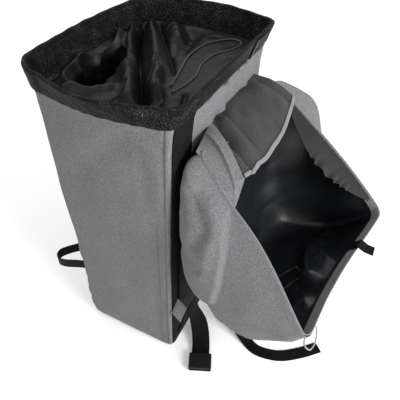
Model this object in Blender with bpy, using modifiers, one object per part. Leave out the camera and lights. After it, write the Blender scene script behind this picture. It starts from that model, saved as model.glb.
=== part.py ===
"""Open-topped haul bag standing upright, its hooded lid thrown back over the harness side.

Metres, +Z up. The origin is the middle of the flat floor of the bag. The harness face looks
along -Y, the front face along +Y, and the width runs along X.
"""
import math

import bmesh
import bpy
import numpy as np

# Cloth, webbing and clearances
CLOTH = 0.0020
WEBBING = 0.0016
LINER = 0.0015
PANEL = 0.0014
GAP = 0.0003

# Body
BODY_HEIGHT = 0.600
BODY_WIDTH = 0.346
BODY_DEPTH = 0.224
BODY_CORNER = 0.016
RIM_TAPE = 0.042
RIM_SEAM_SLACK = 0.0006
PANEL_FOOT = 0.012

# Harness face
STRIP_WIDTH = 0.060
YOKE_DROP = 0.062
SEAM_SPACE = 0.0006

# Collar and drawcord
COLLAR_DROP = 0.040
COLLAR_SHELF = 0.044
COLLAR_THROAT_DROP = 0.058
COLLAR_FOLD = 0.006
THROAT_LONG = 0.150
THROAT_SHORT = 0.080
THROAT_X = -0.045
THROAT_Y = 0.066
CORD = 0.0030

# Shoulder straps and hip belt
PAD_WIDTH = 0.062
PAD_THICK = 0.010
PAD_SPREAD = 0.080
STRAP_WEB = 0.025
HIP_WEB = 0.038
BUCKLE_WIDTH = 0.048
BUCKLE_LENGTH = 0.036
BUCKLE_THICK = 0.012
BUCKLE_WALL = 0.0025
BELT_TURN = 23.5
BELT_JOIN = 0.0008
BELT_END_X = 0.1535
BELT_END_Y = -0.170

# Lid
LID_WIDTH = 0.332
LID_NECK = 0.300
LID_REACH = 0.325
LID_DEPTH = 0.200
LID_TILT = 46.0
LID_START_Y = -0.158
LID_START_Z = 0.503
LID_CORNER = 0.030
LID_CROWN = 0.011
LID_TWIST = 0.018
LID_BULGE = 0.016
LID_HEM = 0.022
LID_SEAM = 0.256
LID_SEAM_Z = 0.5185
LID_NECK_REACH = 0.080
LID_FACING = 0.052
LID_TAB_X = 0.050
LID_TAB_LIFT = 0.0036
LID_SEAM_SLACK = 0.0005
LID_CORD = 0.0024
LID_STRAP_X = -0.060

# Gear loops and label
LOOP_WEB = 0.025
LOOP_SPAN = 0.060
LOOP_REACH = 0.076
LOOP_HEIGHT = 0.140
LABEL_HEIGHT = 0.152
LABEL_RISE = 0.022
LABEL_FIRST = 2.0
LABEL_LAST = 4.2
LABEL_REACH = (-0.0036, -0.0216, -0.0120)
LABEL_DROOP = 0.0030
LABEL_SLACK = 0.0007

# The body from its floor to its rim. height is a share of BODY_HEIGHT, width of BODY_WIDTH,
# back and front of BODY_DEPTH; the four corner radii are shares of BODY_CORNER and the
# bulges shares of BODY_DEPTH.
BODY_COLUMNS = ("height", "width", "back", "front", "near_left", "near_right",
                "far_right", "far_left", "bulge_left", "bulge_front")
BODY_SECTIONS = (
    (0.000, 0.930, 0.445, 0.415, 0.8, 0.8, 1.0, 1.0, 0.000, 0.000),
    (0.006, 0.962, 0.468, 0.440, 0.9, 0.9, 1.1, 1.1, 0.000, 0.000),
    (0.020, 0.985, 0.482, 0.455, 1.0, 1.0, 1.2, 1.2, 0.000, 0.004),
    (0.120, 0.995, 0.487, 0.472, 1.0, 1.0, 1.3, 1.3, 0.006, 0.010),
    (0.300, 1.000, 0.492, 0.478, 1.0, 1.0, 1.5, 1.5, 0.010, 0.018),
    (0.500, 1.005, 0.500, 0.490, 1.0, 1.0, 1.6, 1.6, 0.014, 0.022),
    (0.720, 1.010, 0.515, 0.515, 1.1, 1.1, 1.8, 1.9, 0.018, 0.026),
    (0.880, 1.015, 0.528, 0.545, 1.2, 1.2, 2.0, 2.4, 0.024, 0.030),
    (0.930, 1.020, 0.540, 0.566, 1.3, 1.2, 2.2, 2.8, 0.034, 0.032),
    (0.965, 1.038, 0.570, 0.593, 1.7, 1.4, 2.4, 3.2, 0.066, 0.034),
    (1.000, 1.055, 0.600, 0.620, 2.2, 1.5, 2.6, 3.6, 0.100, 0.036),
)

# Depth of the lid below its mouth: a share of LID_REACH from the neck to the front edge, and
# the depth there as a share of LID_DEPTH.
LID_SECTIONS = (
    (0.00, 0.180),
    (0.10, 0.335),
    (0.30, 0.620),
    (0.50, 0.860),
    (0.65, 0.980),
    (0.78, 1.000),
    (0.90, 0.925),
    (1.00, 0.780),
)

# Rings of the lid from its mouth to its lowest face: a share of the depth there, and the
# share of LID_DEPTH by which the wall has turned in.
LID_RINGS = (
    (0.00, 0.000),
    (0.22, 0.000),
    (0.45, 0.000),
    (0.68, 0.012),
    (0.84, 0.045),
    (0.95, 0.110),
    (1.00, 0.200),
    (1.03, 0.360),
)


def clear_scene():
    """Remove every object that the scene starts with."""
    for item in list(bpy.data.objects):
        bpy.data.objects.remove(item, do_unlink=True)


def new_collection(name):
    """Add a collection to the scene."""
    group = bpy.data.collections.new(name)
    bpy.context.scene.collection.children.link(group)
    return group


def finish(name, colour, roughness, metallic=0.0):
    """A plain Principled finish."""
    material = bpy.data.materials.new(name)
    material.use_nodes = True
    shader = material.node_tree.nodes["Principled BSDF"]
    shader.inputs["Base Color"].default_value = (*colour, 1.0)
    shader.inputs["Roughness"].default_value = roughness
    shader.inputs["Metallic"].default_value = metallic
    return material


def add_mesh(group, name, points, faces, material):
    """Turn points and faces into a named object with its faces pointing outwards."""
    mesh = bpy.data.meshes.new(name)
    mesh.from_pydata([tuple(point) for point in points], [], faces)
    work = bmesh.new()
    work.from_mesh(mesh)
    bmesh.ops.recalc_face_normals(work, faces=work.faces)
    work.to_mesh(mesh)
    work.free()
    mesh.materials.append(material)
    mesh.shade_smooth()
    mesh.set_sharp_from_angle(angle=math.radians(40.0))
    item = bpy.data.objects.new(name, mesh)
    group.objects.link(item)
    return item


def band_faces(rows, columns, wrap):
    """Four-sided faces of a grid of points, closed round its columns if wrap is set."""
    last = columns if wrap else columns - 1
    faces = []
    for row in range(rows - 1):
        for column in range(last):
            beside = (column + 1) % columns
            faces.append((row * columns + column, row * columns + beside,
                          (row + 1) * columns + beside, (row + 1) * columns + column))
    return faces


def split(faces):
    """Cut four-sided faces along the same diagonal, so that twisted neighbours match."""
    return [half for a, b, c, d in faces for half in ((a, b, c), (a, c, d))]


def skin(group, name, rings, material, caps=True):
    """Closed body through a list of rings; capped at both ends, or joined last to first."""
    rows = len(rings)
    columns = len(rings[0])
    faces = split(band_faces(rows, columns, True))
    if caps:
        faces.append(tuple(range(columns))[::-1])
        faces.append(tuple(range((rows - 1) * columns, rows * columns)))
    else:
        for column in range(columns):
            beside = (column + 1) % columns
            faces.append(((rows - 1) * columns + column, (rows - 1) * columns + beside,
                          beside, column))
    return add_mesh(group, name, np.concatenate(rings), faces, material)


def slab(group, name, inner, outer, material):
    """Closed panel between two grids of points of the same size."""
    rows, columns = inner.shape[:2]
    count = rows * columns
    faces = band_faces(rows, columns, False)
    faces += [tuple(corner + count for corner in face)[::-1] for face in faces]
    edge = list(range(columns))
    edge += [row * columns + columns - 1 for row in range(1, rows)]
    edge += [(rows - 1) * columns + column for column in range(columns - 2, -1, -1)]
    edge += [row * columns for row in range(rows - 2, 0, -1)]
    for here, there in zip(edge, edge[1:] + edge[:1]):
        faces.append((here, there, there + count, here + count))
    points = np.concatenate([inner.reshape(-1, 3), outer.reshape(-1, 3)])
    return add_mesh(group, name, points, faces, material)


def sheet(group, name, grid, thickness, material, wrap=False, side=-1.0):
    """Thin cloth: an open grid given its wall by Solidify."""
    rows, columns = grid.shape[:2]
    mesh = bpy.data.meshes.new(name)
    mesh.from_pydata([tuple(point) for point in grid.reshape(-1, 3)], [],
                     band_faces(rows, columns, wrap))
    mesh.materials.append(material)
    mesh.shade_smooth()
    item = bpy.data.objects.new(name, mesh)
    group.objects.link(item)
    wall = item.modifiers.new("wall", "SOLIDIFY")
    wall.thickness = thickness
    wall.offset = side
    wall.use_even_offset = True
    return item


def body_row(height):
    """Section values at a height, straight between the rows of the table."""
    table = np.array(BODY_SECTIONS)
    share = height / BODY_HEIGHT
    return {name: float(np.interp(share, table[:, 0], table[:, column]))
            for column, name in enumerate(BODY_COLUMNS)}


# Steps along each stretch of the outline, in order round the body
OUTLINE_STEPS = {"near_left": 4, "strip_left": 2, "middle": 8, "strip_right": 2,
                 "near_right": 4, "side_right": 8, "far_right": 5, "front": 10,
                 "far_left": 5, "side_left": 8}


def outline_index(stretch):
    """First point of a stretch of the outline."""
    names = list(OUTLINE_STEPS)
    return sum(OUTLINE_STEPS[name] for name in names[:names.index(stretch)])


def outline(height, out=0.0):
    """Rounded outline of the body at a height, moved outwards by a distance."""
    row = body_row(height)
    half = row["width"] * BODY_WIDTH / 2 + out
    back = -row["back"] * BODY_DEPTH - out
    front = row["front"] * BODY_DEPTH + out
    radius = {name: row[name] * BODY_CORNER + out
              for name in ("near_left", "near_right", "far_right", "far_left")}
    strip = BODY_WIDTH / 2 - STRIP_WIDTH
    bulge_left = row["bulge_left"] * BODY_DEPTH
    bulge_front = row["bulge_front"] * BODY_DEPTH
    points = []

    def arc(centre_x, centre_y, size, start, steps):
        for step in range(steps):
            angle = math.radians(start + 90.0 * step / steps)
            points.append((centre_x + size * math.cos(angle),
                           centre_y + size * math.sin(angle)))

    def run(start, end, steps, bulge=0.0):
        side = np.array(end) - np.array(start)
        normal = np.array((side[1], -side[0])) / np.linalg.norm(side)
        for step in range(steps):
            share = step / steps
            place = np.array(start) + side * share
            place = place + normal * bulge * math.sin(math.pi * share)
            points.append(tuple(place))

    steps = OUTLINE_STEPS
    size = radius["near_left"]
    arc(-half + size, back + size, size, 180.0, steps["near_left"])
    run((-half + size, back), (-strip, back), steps["strip_left"])
    run((-strip, back), (strip, back), steps["middle"])
    size = radius["near_right"]
    run((strip, back), (half - size, back), steps["strip_right"])
    arc(half - size, back + size, size, 270.0, steps["near_right"])
    far = radius["far_right"]
    run((half, back + size), (half, front - far), steps["side_right"], bulge_left)
    arc(half - far, front - far, far, 0.0, steps["far_right"])
    turn = radius["far_left"]
    run((half - far, front), (-half + turn, front), steps["front"], bulge_front)
    arc(-half + turn, front - turn, turn, 90.0, steps["far_left"])
    size = radius["near_left"]
    run((-half, front - turn), (-half, back + size), steps["side_left"], bulge_left)
    return np.array([(x, y, height) for x, y in points])


def levels(low, high):
    """Heights from low to high with every row of the table that lies between."""
    rows = [row[0] * BODY_HEIGHT for row in BODY_SECTIONS]
    return [low] + [height for height in rows if low + 0.002 < height < high - 0.002] + [high]


def harness_y(height):
    """Y of the flat harness face at a height."""
    return -body_row(height)["back"] * BODY_DEPTH


def build_shell(group, material):
    """Open-topped cloth body: its outer rings, over the rim, its inner rings and floor."""
    heights = levels(0.0, BODY_HEIGHT)
    rings = [outline(height) for height in heights]
    inside = [max(height, CLOTH) for height in heights[::-1]]
    floor = [height for height in inside if height > CLOTH] + [CLOTH]
    rings += [outline(height, -CLOTH) for height in floor]
    return skin(group, "main_shell", rings, material)


def build_rim_binding(group, material):
    """Webbing folded over the rim: a closed band of eight corners carried round it."""
    low = BODY_HEIGHT - RIM_TAPE
    top = BODY_HEIGHT + GAP
    seat = GAP + RIM_SEAM_SLACK / 2
    outside = seat + WEBBING
    inside = -CLOTH - GAP - RIM_SEAM_SLACK
    rising = levels(low, BODY_HEIGHT)
    rings = [outline(height, seat) for height in rising]
    for edge in (seat, inside):
        under = outline(BODY_HEIGHT, edge)
        under[:, 2] = top
        rings.append(under)
    rings += [outline(height, inside) for height in rising[::-1]]
    rings += [outline(height, inside - WEBBING) for height in rising]
    crest = outline(BODY_HEIGHT, (outside + inside) / 2)
    crest[:, 2] = top + WEBBING
    rings.append(crest)
    rings += [outline(height, outside) for height in rising[::-1]]
    return skin(group, "rim_binding", rings, material, caps=False)


def trim_edge(grid, start, end):
    """Pull the first and last columns of a grid in by a seam's width."""
    for column, beside, width in ((0, 1, start), (-1, -2, end)):
        step = grid[:, beside] - grid[:, column]
        length = np.linalg.norm(step, axis=1, keepdims=True)
        grid[:, column] += step / length * width
    return grid


def build_harness_panels(group, black, grey):
    """Black corners and middle of the harness face with the grey yoke above."""
    low = PANEL_FOOT
    high = BODY_HEIGHT - RIM_TAPE - SEAM_SPACE
    notch = BODY_HEIGHT - RIM_TAPE - YOKE_DROP
    middle = outline_index("middle")
    right = outline_index("strip_right")
    pieces = (("harness_strip_left", 0, middle, low, high, black, 0.0, SEAM_SPACE),
              ("harness_strip_right", right, outline_index("side_right"), low, high, black,
               SEAM_SPACE, 0.0),
              ("harness_back_panel", middle, right, low, notch - SEAM_SPACE, black, 0.0, 0.0),
              ("harness_yoke", middle, right, notch, high, grey, 0.0, 0.0))
    for name, first, last, bottom, top, material, start, end in pieces:
        indices = np.arange(first, last + 1)
        grids = [np.array([outline(height, lift)[indices] for height in levels(bottom, top)])
                 for lift in (GAP, GAP + PANEL)]
        slab(group, name, trim_edge(grids[0], start, end), trim_edge(grids[1], start, end),
             material)


def build_collar(group, material):
    """Nylon liner from inside the rim to a gathered throat, with folds between."""
    edge = -CLOTH - 2 * GAP - RIM_SEAM_SLACK - WEBBING
    outer = outline(BODY_HEIGHT - COLLAR_DROP, edge)
    angles = np.arctan2(outer[:, 1] - THROAT_Y, outer[:, 0] - THROAT_X)
    throat = np.stack([THROAT_X + THROAT_LONG / 2 * np.cos(angles),
                       THROAT_Y + THROAT_SHORT / 2 * np.sin(angles),
                       np.full(len(angles), BODY_HEIGHT - COLLAR_THROAT_DROP)], axis=1)
    shelf = BODY_HEIGHT - COLLAR_SHELF
    folds = np.cos(np.arange(len(outer)) * math.pi / 2)
    far = np.clip((outer[:, 1] - THROAT_Y) / BODY_DEPTH * 4 + 1.6, 0.0, 1.0)
    rings = []
    for share in (0.0, 0.12, 0.3, 0.5, 0.7, 0.88, 1.0):
        ring = outer + (throat - outer) * share
        level = np.interp(share, (0.0, 0.12, 0.75, 1.0),
                          (outer[0, 2], shelf, shelf, throat[0, 2]))
        ring[:, 2] = level + COLLAR_FOLD * folds * far * math.sin(math.pi * share)
        rings.append(ring)
    under = [ring - np.array((0.0, 0.0, LINER)) for ring in rings[:0:-1]]
    under.append(outline(BODY_HEIGHT - COLLAR_DROP - LINER, edge))
    return skin(group, "collar", rings + under, material, caps=False)


def smooth_route(stops, spacing):
    """Points every spacing along a Catmull-Rom curve through the stops."""
    stops = np.array(stops, float)
    ends = np.concatenate([[2 * stops[0] - stops[1]], stops, [2 * stops[-1] - stops[-2]]])
    fine = []
    for index in range(len(stops) - 1):
        before, start, end, after = ends[index:index + 4]
        for share in np.linspace(0.0, 1.0, 24, endpoint=False):
            fine.append(0.5 * (2 * start + (end - before) * share
                               + (2 * before - 5 * start + 4 * end - after) * share ** 2
                               + (3 * start - before - 3 * end + after) * share ** 3))
    fine.append(stops[-1])
    fine = np.array(fine)
    walked = np.concatenate([[0.0], np.cumsum(np.linalg.norm(np.diff(fine, axis=0), axis=1))])
    count = max(2, round(walked[-1] / spacing) + 1)
    marks = np.linspace(0.0, walked[-1], count)
    return np.stack([np.interp(marks, walked, fine[:, axis]) for axis in range(3)], axis=1)


def cord(group, name, stops, diameter, material):
    """Round cord: a curve with a bevel and filled caps."""
    route = smooth_route(stops, diameter * 2.5)
    curve = bpy.data.curves.new(name, "CURVE")
    curve.dimensions = "3D"
    curve.bevel_depth = diameter / 2
    curve.bevel_resolution = 2
    curve.use_fill_caps = True
    spline = curve.splines.new("POLY")
    spline.points.add(len(route) - 1)
    for point, place in zip(spline.points, route):
        point.co = (*place, 1.0)
    curve.materials.append(material)
    item = bpy.data.objects.new(name, curve)
    group.objects.link(item)
    return item


def ribbon(group, name, stops, across, width, thickness, material, spacing=0.012):
    """Flat webbing carried along a route; across gives its width direction at each stop."""
    stops = np.array(stops, float)
    across = np.array(across, float)
    joined = smooth_route(np.concatenate([stops, across], axis=1)[:, :3], spacing)
    marks = np.linspace(0.0, 1.0, len(joined))
    walked = np.concatenate([[0.0], np.cumsum(np.linalg.norm(np.diff(stops, axis=0), axis=1))])
    sides = np.stack([np.interp(marks, walked / walked[-1], across[:, axis])
                      for axis in range(3)], axis=1)
    ahead = np.gradient(joined, axis=0)
    ahead /= np.linalg.norm(ahead, axis=1, keepdims=True)
    sides -= ahead * np.sum(sides * ahead, axis=1, keepdims=True)
    sides /= np.linalg.norm(sides, axis=1, keepdims=True)
    normal = np.cross(ahead, sides)
    rings = []
    for place, side, up in zip(joined, sides, normal):
        rings.append(np.array([place - side * width / 2 - up * thickness / 2,
                               place + side * width / 2 - up * thickness / 2,
                               place + side * width / 2 + up * thickness / 2,
                               place - side * width / 2 + up * thickness / 2]))
    return skin(group, name, rings, material)


def build_shoulder_strap(group, name, side, material):
    """Padded strap lying on the harness face, its edges thinner than its middle."""
    rows = ((0.835, 1.00, 0.80), (0.780, 1.06, 0.95), (0.700, 1.18, 1.00), (0.560, 1.36, 1.00),
            (0.420, 1.44, 1.00), (0.290, 1.44, 1.00), (0.200, 1.36, 0.92), (0.150, 1.30, 0.72))
    shape = ((-0.50, 0.25), (-0.36, 1.00), (0.36, 1.00), (0.50, 0.25), (0.50, 0.00),
             (-0.50, 0.00))
    rings = []
    for height_share, spread, width_share in rows:
        height = height_share * BODY_HEIGHT
        centre = side * PAD_SPREAD * spread
        seat = harness_y(height) - 2 * GAP - PANEL
        rings.append(np.array([(centre + across * PAD_WIDTH * width_share,
                                seat - rise * PAD_THICK, height) for across, rise in shape]))
    return skin(group, name, rings, material)


def build_lower_strap(group, name, side, material):
    """Webbing from the end of a shoulder pad down to the bottom corner of the bag."""
    seat = GAP + PANEL + WEBBING
    top = 0.150 * BODY_HEIGHT - 2 * GAP
    start_x = side * PAD_SPREAD * 1.30
    stops = [(start_x, harness_y(top) - seat, top), (start_x, harness_y(top) - seat, top - 0.010),
             (start_x, harness_y(top) - seat, top - 0.020),
             (side * 0.117, harness_y(0.054) - seat - 0.001, 0.050),
             (side * 0.136, harness_y(0.030) - seat, 0.026)]
    return ribbon(group, name, stops, [(1.0, 0.0, 0.0)] * 5, STRAP_WEB, WEBBING, material,
                  spacing=0.008)


def belt_end(side):
    """Middle of the end of a hip belt on the ground, and its direction away from the bag."""
    turn = math.radians(BELT_TURN)
    ahead = np.array((side * math.cos(turn), -math.sin(turn), 0.0))
    return np.array((side * BELT_END_X, BELT_END_Y, BUCKLE_THICK / 2)), ahead


def build_hip_belt(group, name, side, material):
    """Folded waist webbing from under the shoulder pad to its buckle half on the ground."""
    start_z = 0.150 * BODY_HEIGHT - 0.010
    lower_strap = GAP + PANEL + 1.5 * WEBBING
    seat = harness_y(start_z) - lower_strap - 3 * GAP - WEBBING
    end, ahead = belt_end(side)
    stops = [(side * 0.094, seat, start_z), (side * 0.094, seat - 0.0006, start_z - 0.006),
             (side * 0.096, seat - 0.009, start_z - 0.026), (side * 0.103, -0.140, 0.031),
             (side * 0.117, -0.152, 0.014), end - ahead * 0.018, end]
    across = [(1.0, 0.0, 0.0)] * 3 + [(0.6, side * 0.6, 0.0)] + [(0.40, side * 0.916, 0.0)] * 3
    return ribbon(group, name, stops, across, HIP_WEB, 2 * WEBBING, material, spacing=0.008)


def box_part(group, name, size, place, turn, material):
    """Plain box with rounded edges."""
    work = bmesh.new()
    bmesh.ops.create_cube(work, size=1.0)
    bmesh.ops.scale(work, vec=size, verts=work.verts)
    mesh = bpy.data.meshes.new(name)
    work.to_mesh(mesh)
    work.free()
    mesh.materials.append(material)
    item = bpy.data.objects.new(name, mesh)
    item.location = place
    item.rotation_euler = (0.0, 0.0, turn)
    group.objects.link(item)
    return item


def cut(item, cutter):
    """Cut one object out of another and keep the cutter hidden."""
    cutter.hide_render = True
    cutter.display_type = "WIRE"
    modifier = item.modifiers.new("cut", "BOOLEAN")
    modifier.operation = "DIFFERENCE"
    modifier.solver = "EXACT"
    modifier.object = cutter


def build_buckle_socket(group, cutters, side, material):
    """Socket half of the buckle at the end of a belt: a box with a hollow mouth."""
    end, ahead = belt_end(side)
    place = end + ahead * (BUCKLE_LENGTH / 2 + BELT_JOIN)
    turn = math.atan2(ahead[1], ahead[0])
    item = box_part(group, "buckle_socket", (BUCKLE_LENGTH, BUCKLE_WIDTH, BUCKLE_THICK),
                    place, turn, material)
    edge = item.modifiers.new("edge", "BEVEL")
    edge.width = 0.0022
    edge.segments = 2
    mouth_depth = BUCKLE_LENGTH * 0.62
    shift = (BUCKLE_LENGTH - mouth_depth) / 2 + BUCKLE_WALL
    mouth = box_part(cutters, "cut_mouth",
                     (mouth_depth + 2 * BUCKLE_WALL, BUCKLE_WIDTH - 2 * BUCKLE_WALL,
                      BUCKLE_THICK - 2 * BUCKLE_WALL),
                     place + ahead * shift, turn, material)
    cut(item, mouth)
    return item


def build_buckle_plug(group, side, material):
    """Plug half of the buckle: a cross bar with two prongs and a guide between them."""
    end, ahead = belt_end(side)
    beside = np.array((-ahead[1], ahead[0], 0.0))
    tongue = BUCKLE_LENGTH * 0.55
    thick = BUCKLE_THICK - 3 * BUCKLE_WALL
    half = BUCKLE_LENGTH * 0.18
    place = end + ahead * (half + BELT_JOIN)
    width = BUCKLE_WIDTH * 0.44
    # One outline in the plane of the buckle, from the bar round the prongs and the guide
    shape = ((-half, -width), (half, -width), (half + tongue * 0.7, -width * 0.98),
             (half + tongue, -width * 0.74), (half + tongue * 0.55, -width * 0.66),
             (half, -width * 0.60), (half, -width * 0.18), (half + tongue * 0.8, -width * 0.14),
             (half + tongue * 0.8, width * 0.14), (half, width * 0.18), (half, width * 0.60),
             (half + tongue * 0.55, width * 0.66), (half + tongue, width * 0.74),
             (half + tongue * 0.7, width * 0.98), (half, width), (-half, width))
    rings = []
    for rise in (-thick / 2, thick / 2):
        rings.append(np.array([place + ahead * along + beside * across
                               + np.array((0.0, 0.0, rise)) for along, across in shape]))
    return skin(group, "buckle_plug", rings, material)


def lid_place(across, along, down):
    """World place of a point given across, along and down from the lid's mouth."""
    tilt = math.radians(LID_TILT)
    share = along / LID_REACH
    lean = across / (LID_WIDTH / 2)
    along = along * (1.0 + 0.05 * lean)
    down = down - LID_CROWN * math.sin(math.pi * min(max(share, 0.0), 1.0))
    down = down - LID_TWIST * lean * share
    return np.array((across,
                     LID_START_Y - along * math.cos(tilt) + down * math.sin(tilt),
                     LID_START_Z - along * math.sin(tilt) - down * math.cos(tilt)))


def lid_depth(along):
    """Depth of the lid at a distance from its neck."""
    table = np.array(LID_SECTIONS)
    return float(np.interp(along / LID_REACH, table[:, 0], table[:, 1])) * LID_DEPTH


LID_STEPS = {"back": 8, "back_right": 3, "right": 8, "front_right": 3, "front": 8,
             "front_left": 3, "left": 8, "back_left": 3}


def lid_ring(share, inset, extra=0.0):
    """Ring of the lid at a share of its depth, turned in by inset and moved in by extra."""
    shrink = inset * LID_DEPTH + extra
    reach = LID_REACH - shrink
    start = shrink
    radius = LID_CORNER + shrink * 0.5
    bulge = LID_BULGE * math.sin(math.pi * min(share, 1.0))

    def half(along):
        return (LID_NECK + (LID_WIDTH - LID_NECK) * along / LID_REACH) / 2 - shrink

    flat = []

    def arc(sign, centre_along, begin, steps):
        centre = sign * (half(centre_along) - radius)
        for step in range(steps):
            angle = math.radians(begin + 90.0 * step / steps)
            flat.append((centre + radius * math.cos(angle),
                         centre_along + radius * math.sin(angle)))

    def side(sign, begin, end, steps):
        for step in range(steps):
            along = begin + (end - begin) * step / steps
            swell = bulge * math.sin(math.pi * step / steps)
            flat.append((sign * (half(along) + swell), along))

    left = half(start + radius) - radius
    for step in range(LID_STEPS["back"]):
        flat.append((-left + 2 * left * step / LID_STEPS["back"], start))
    arc(1.0, start + radius, -90.0, LID_STEPS["back_right"])
    side(1.0, start + radius, reach - radius, LID_STEPS["right"])
    arc(1.0, reach - radius, 0.0, LID_STEPS["front_right"])
    front = half(reach - radius) - radius
    for step in range(LID_STEPS["front"]):
        flat.append((front - 2 * front * step / LID_STEPS["front"], reach))
    arc(-1.0, reach - radius, 90.0, LID_STEPS["front_left"])
    side(-1.0, reach - radius, start + radius, LID_STEPS["left"])
    arc(-1.0, start + radius, 180.0, LID_STEPS["back_left"])
    return np.array([lid_place(across, along, lid_depth(along) * share)
                     for across, along in flat])


def build_lid_hood(group, material):
    """Hollow hood of the lid: rings from its mouth down, closed by a middle point."""
    rings = np.array([lid_ring(share, inset) for share, inset in LID_RINGS])
    rows, columns = rings.shape[:2]
    faces = band_faces(rows, columns, True)
    points = rings.reshape(-1, 3)
    middle = rings[-1].mean(axis=0)
    first = (rows - 1) * columns
    for column in range(columns):
        faces.append((first + column, first + (column + 1) % columns, rows * columns))
    points = np.concatenate([points, [middle]])
    item = add_mesh(group, "lid_hood", points, faces, material)
    wall = item.modifiers.new("wall", "SOLIDIFY")
    wall.thickness = CLOTH
    wall.offset = -1.0
    return item


def build_lid_neck_panel(group, material):
    """Grey panel from the seam on the yoke to the curved hem over the lid's mouth."""
    seam_y = harness_y(LID_SEAM_Z) - 2 * GAP - PANEL
    rows = []
    for share in np.linspace(0.0, 1.0, 6):
        row = []
        for side in np.linspace(-1.0, 1.0, 13):
            middle = 1.0 - side * side
            hem_y = seam_y - LID_NECK_REACH - 0.015 * middle
            hem_z = LID_SEAM_Z - 0.031 - 0.018 * middle
            across = side * (LID_SEAM / 2 + (LID_NECK * 0.46 - LID_SEAM / 2) * share)
            crown = 0.006 * 4 * share * (1 - share)
            row.append((across, seam_y + (hem_y - seam_y) * share,
                        LID_SEAM_Z + (hem_z - LID_SEAM_Z) * share + crown))
        rows.append(row)
    return sheet(group, "lid_neck_panel", np.array(rows), CLOTH, material, side=-1.0)


def lid_inner_strip(first, last, downs, extra):
    """Grid on the inner wall of the lid between two ring points."""
    grid = []
    for down in downs:
        flat = lid_ring(0.0, 0.0, extra)
        ring = flat + (lid_place(0.0, 0.0, down) - lid_place(0.0, 0.0, 0.0))
        grid.append(ring[np.arange(first, last + 1) % len(ring)])
    return np.array(grid)


def lid_index(stretch):
    """First point of a stretch of the lid's rings."""
    names = list(LID_STEPS)
    return sum(LID_STEPS[name] for name in names[:names.index(stretch)])


def build_lid_rim_hem(group, material):
    """Folded hem inside the lid's mouth along its right, front and left edges."""
    first = lid_index("right") + 1
    last = lid_index("back_left") - 1
    inner = CLOTH + LID_SEAM_SLACK
    downs = (0.0, LID_HEM / 2, LID_HEM)
    outer_grid = lid_inner_strip(first, last, downs, inner)
    inner_grid = lid_inner_strip(first, last, downs, inner + CLOTH)
    return slab(group, "lid_rim_hem", inner_grid, outer_grid, material)


def build_lid_facing(group, name, sign, hang, material):
    """Gathered facing from the side edge of the mouth; hang is how far it drops."""
    rows = []
    shift = CLOTH * 2 + LID_SEAM_SLACK + LINER / 2 * (0.25 + 0.75 * hang) + GAP
    for share in (0.0, 0.35, 0.7, 1.0):
        row = []
        for step in range(11):
            along = LID_REACH * (0.13 + 0.74 * step / 10)
            half = (LID_NECK + (LID_WIDTH - LID_NECK) * along / LID_REACH) / 2 - shift
            width = LID_FACING * math.sin(math.pi * (step + 0.6) / 11.2)
            gather = 0.0015 * (-1) ** step * share
            across = half - width * share * (1.0 - hang)
            down = 0.003 + width * share * (hang + 0.25 * (1.0 - hang)) + gather
            row.append(lid_place(sign * across, along, down))
        rows.append(row)
    return sheet(group, name, np.array(rows), LINER, material, side=0.0)


def build_lid_front_tab(group, material):
    """Webbing tab from the inner hem over the front edge of the lid."""
    inner = LID_REACH - CLOTH * 2 - LID_SEAM_SLACK - 2 * GAP - WEBBING / 2
    over = -WEBBING - LID_TAB_LIFT
    stops = [lid_place(LID_TAB_X, inner, 0.020), lid_place(LID_TAB_X, inner, 0.008),
             lid_place(LID_TAB_X, inner - 0.0004, -0.002),
             lid_place(LID_TAB_X, LID_REACH - 0.002, over),
             lid_place(LID_TAB_X, LID_REACH + 0.010, over * 0.8),
             lid_place(LID_TAB_X, LID_REACH + 0.022, 0.0)]
    edge = (lid_place(LID_TAB_X + STRAP_WEB / 2, LID_REACH, 0.0)
            - lid_place(LID_TAB_X - STRAP_WEB / 2, LID_REACH, 0.0))
    return ribbon(group, "lid_front_tab", stops, [edge] * 6, STRAP_WEB, WEBBING, material,
                  spacing=0.004)


def build_lid_cord_loop(group, material):
    """Thin cord loop standing off the lid's left front corner."""
    half = LID_WIDTH / 2
    out = LID_REACH + LID_CORD / 2 + GAP
    start = LID_REACH + LID_CORD * 0.2 + GAP
    stops = [lid_place(-half + 0.034, start, 0.004), lid_place(-half + 0.030, out + 0.010, 0.004),
             lid_place(-half + 0.018, out + 0.020, 0.006),
             lid_place(-half + 0.004, out + 0.020, 0.009),
             lid_place(-half + 0.004, out + 0.006, 0.012),
             lid_place(-half + 0.020, out + 0.0006, 0.014)]
    return cord(group, "lid_cord_loop", stops, LID_CORD, material)


def build_lid_strap(group, material):
    """Webbing strap that drops from under the lid and lies on the ground."""
    low = WEBBING / 2 + GAP
    stops = [(LID_STRAP_X, -0.222, 0.1694), (LID_STRAP_X, -0.218, 0.120),
             (LID_STRAP_X, -0.212, 0.060), (LID_STRAP_X - 0.004, -0.216, 0.022),
             (-0.074, -0.240, low + 0.003), (-0.086, -0.268, low), (-0.086, -0.292, low),
             (-0.076, -0.325, low), (-0.050, -0.361, low), (-0.018, -0.394, low)]
    across = [(1.0, 0.0, 0.0), (1.0, 0.0, 0.0), (1.0, 0.0, 0.0), (1.0, -0.2, 0.0),
              (0.95, -0.45, 0.0), (0.98, -0.1, 0.0), (0.98, 0.1, 0.0), (0.90, 0.45, 0.0),
              (0.78, 0.62, 0.0), (0.72, 0.69, 0.0)]
    return ribbon(group, "lid_strap", stops, across, STRAP_WEB, WEBBING, material,
                  spacing=0.010)


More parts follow.
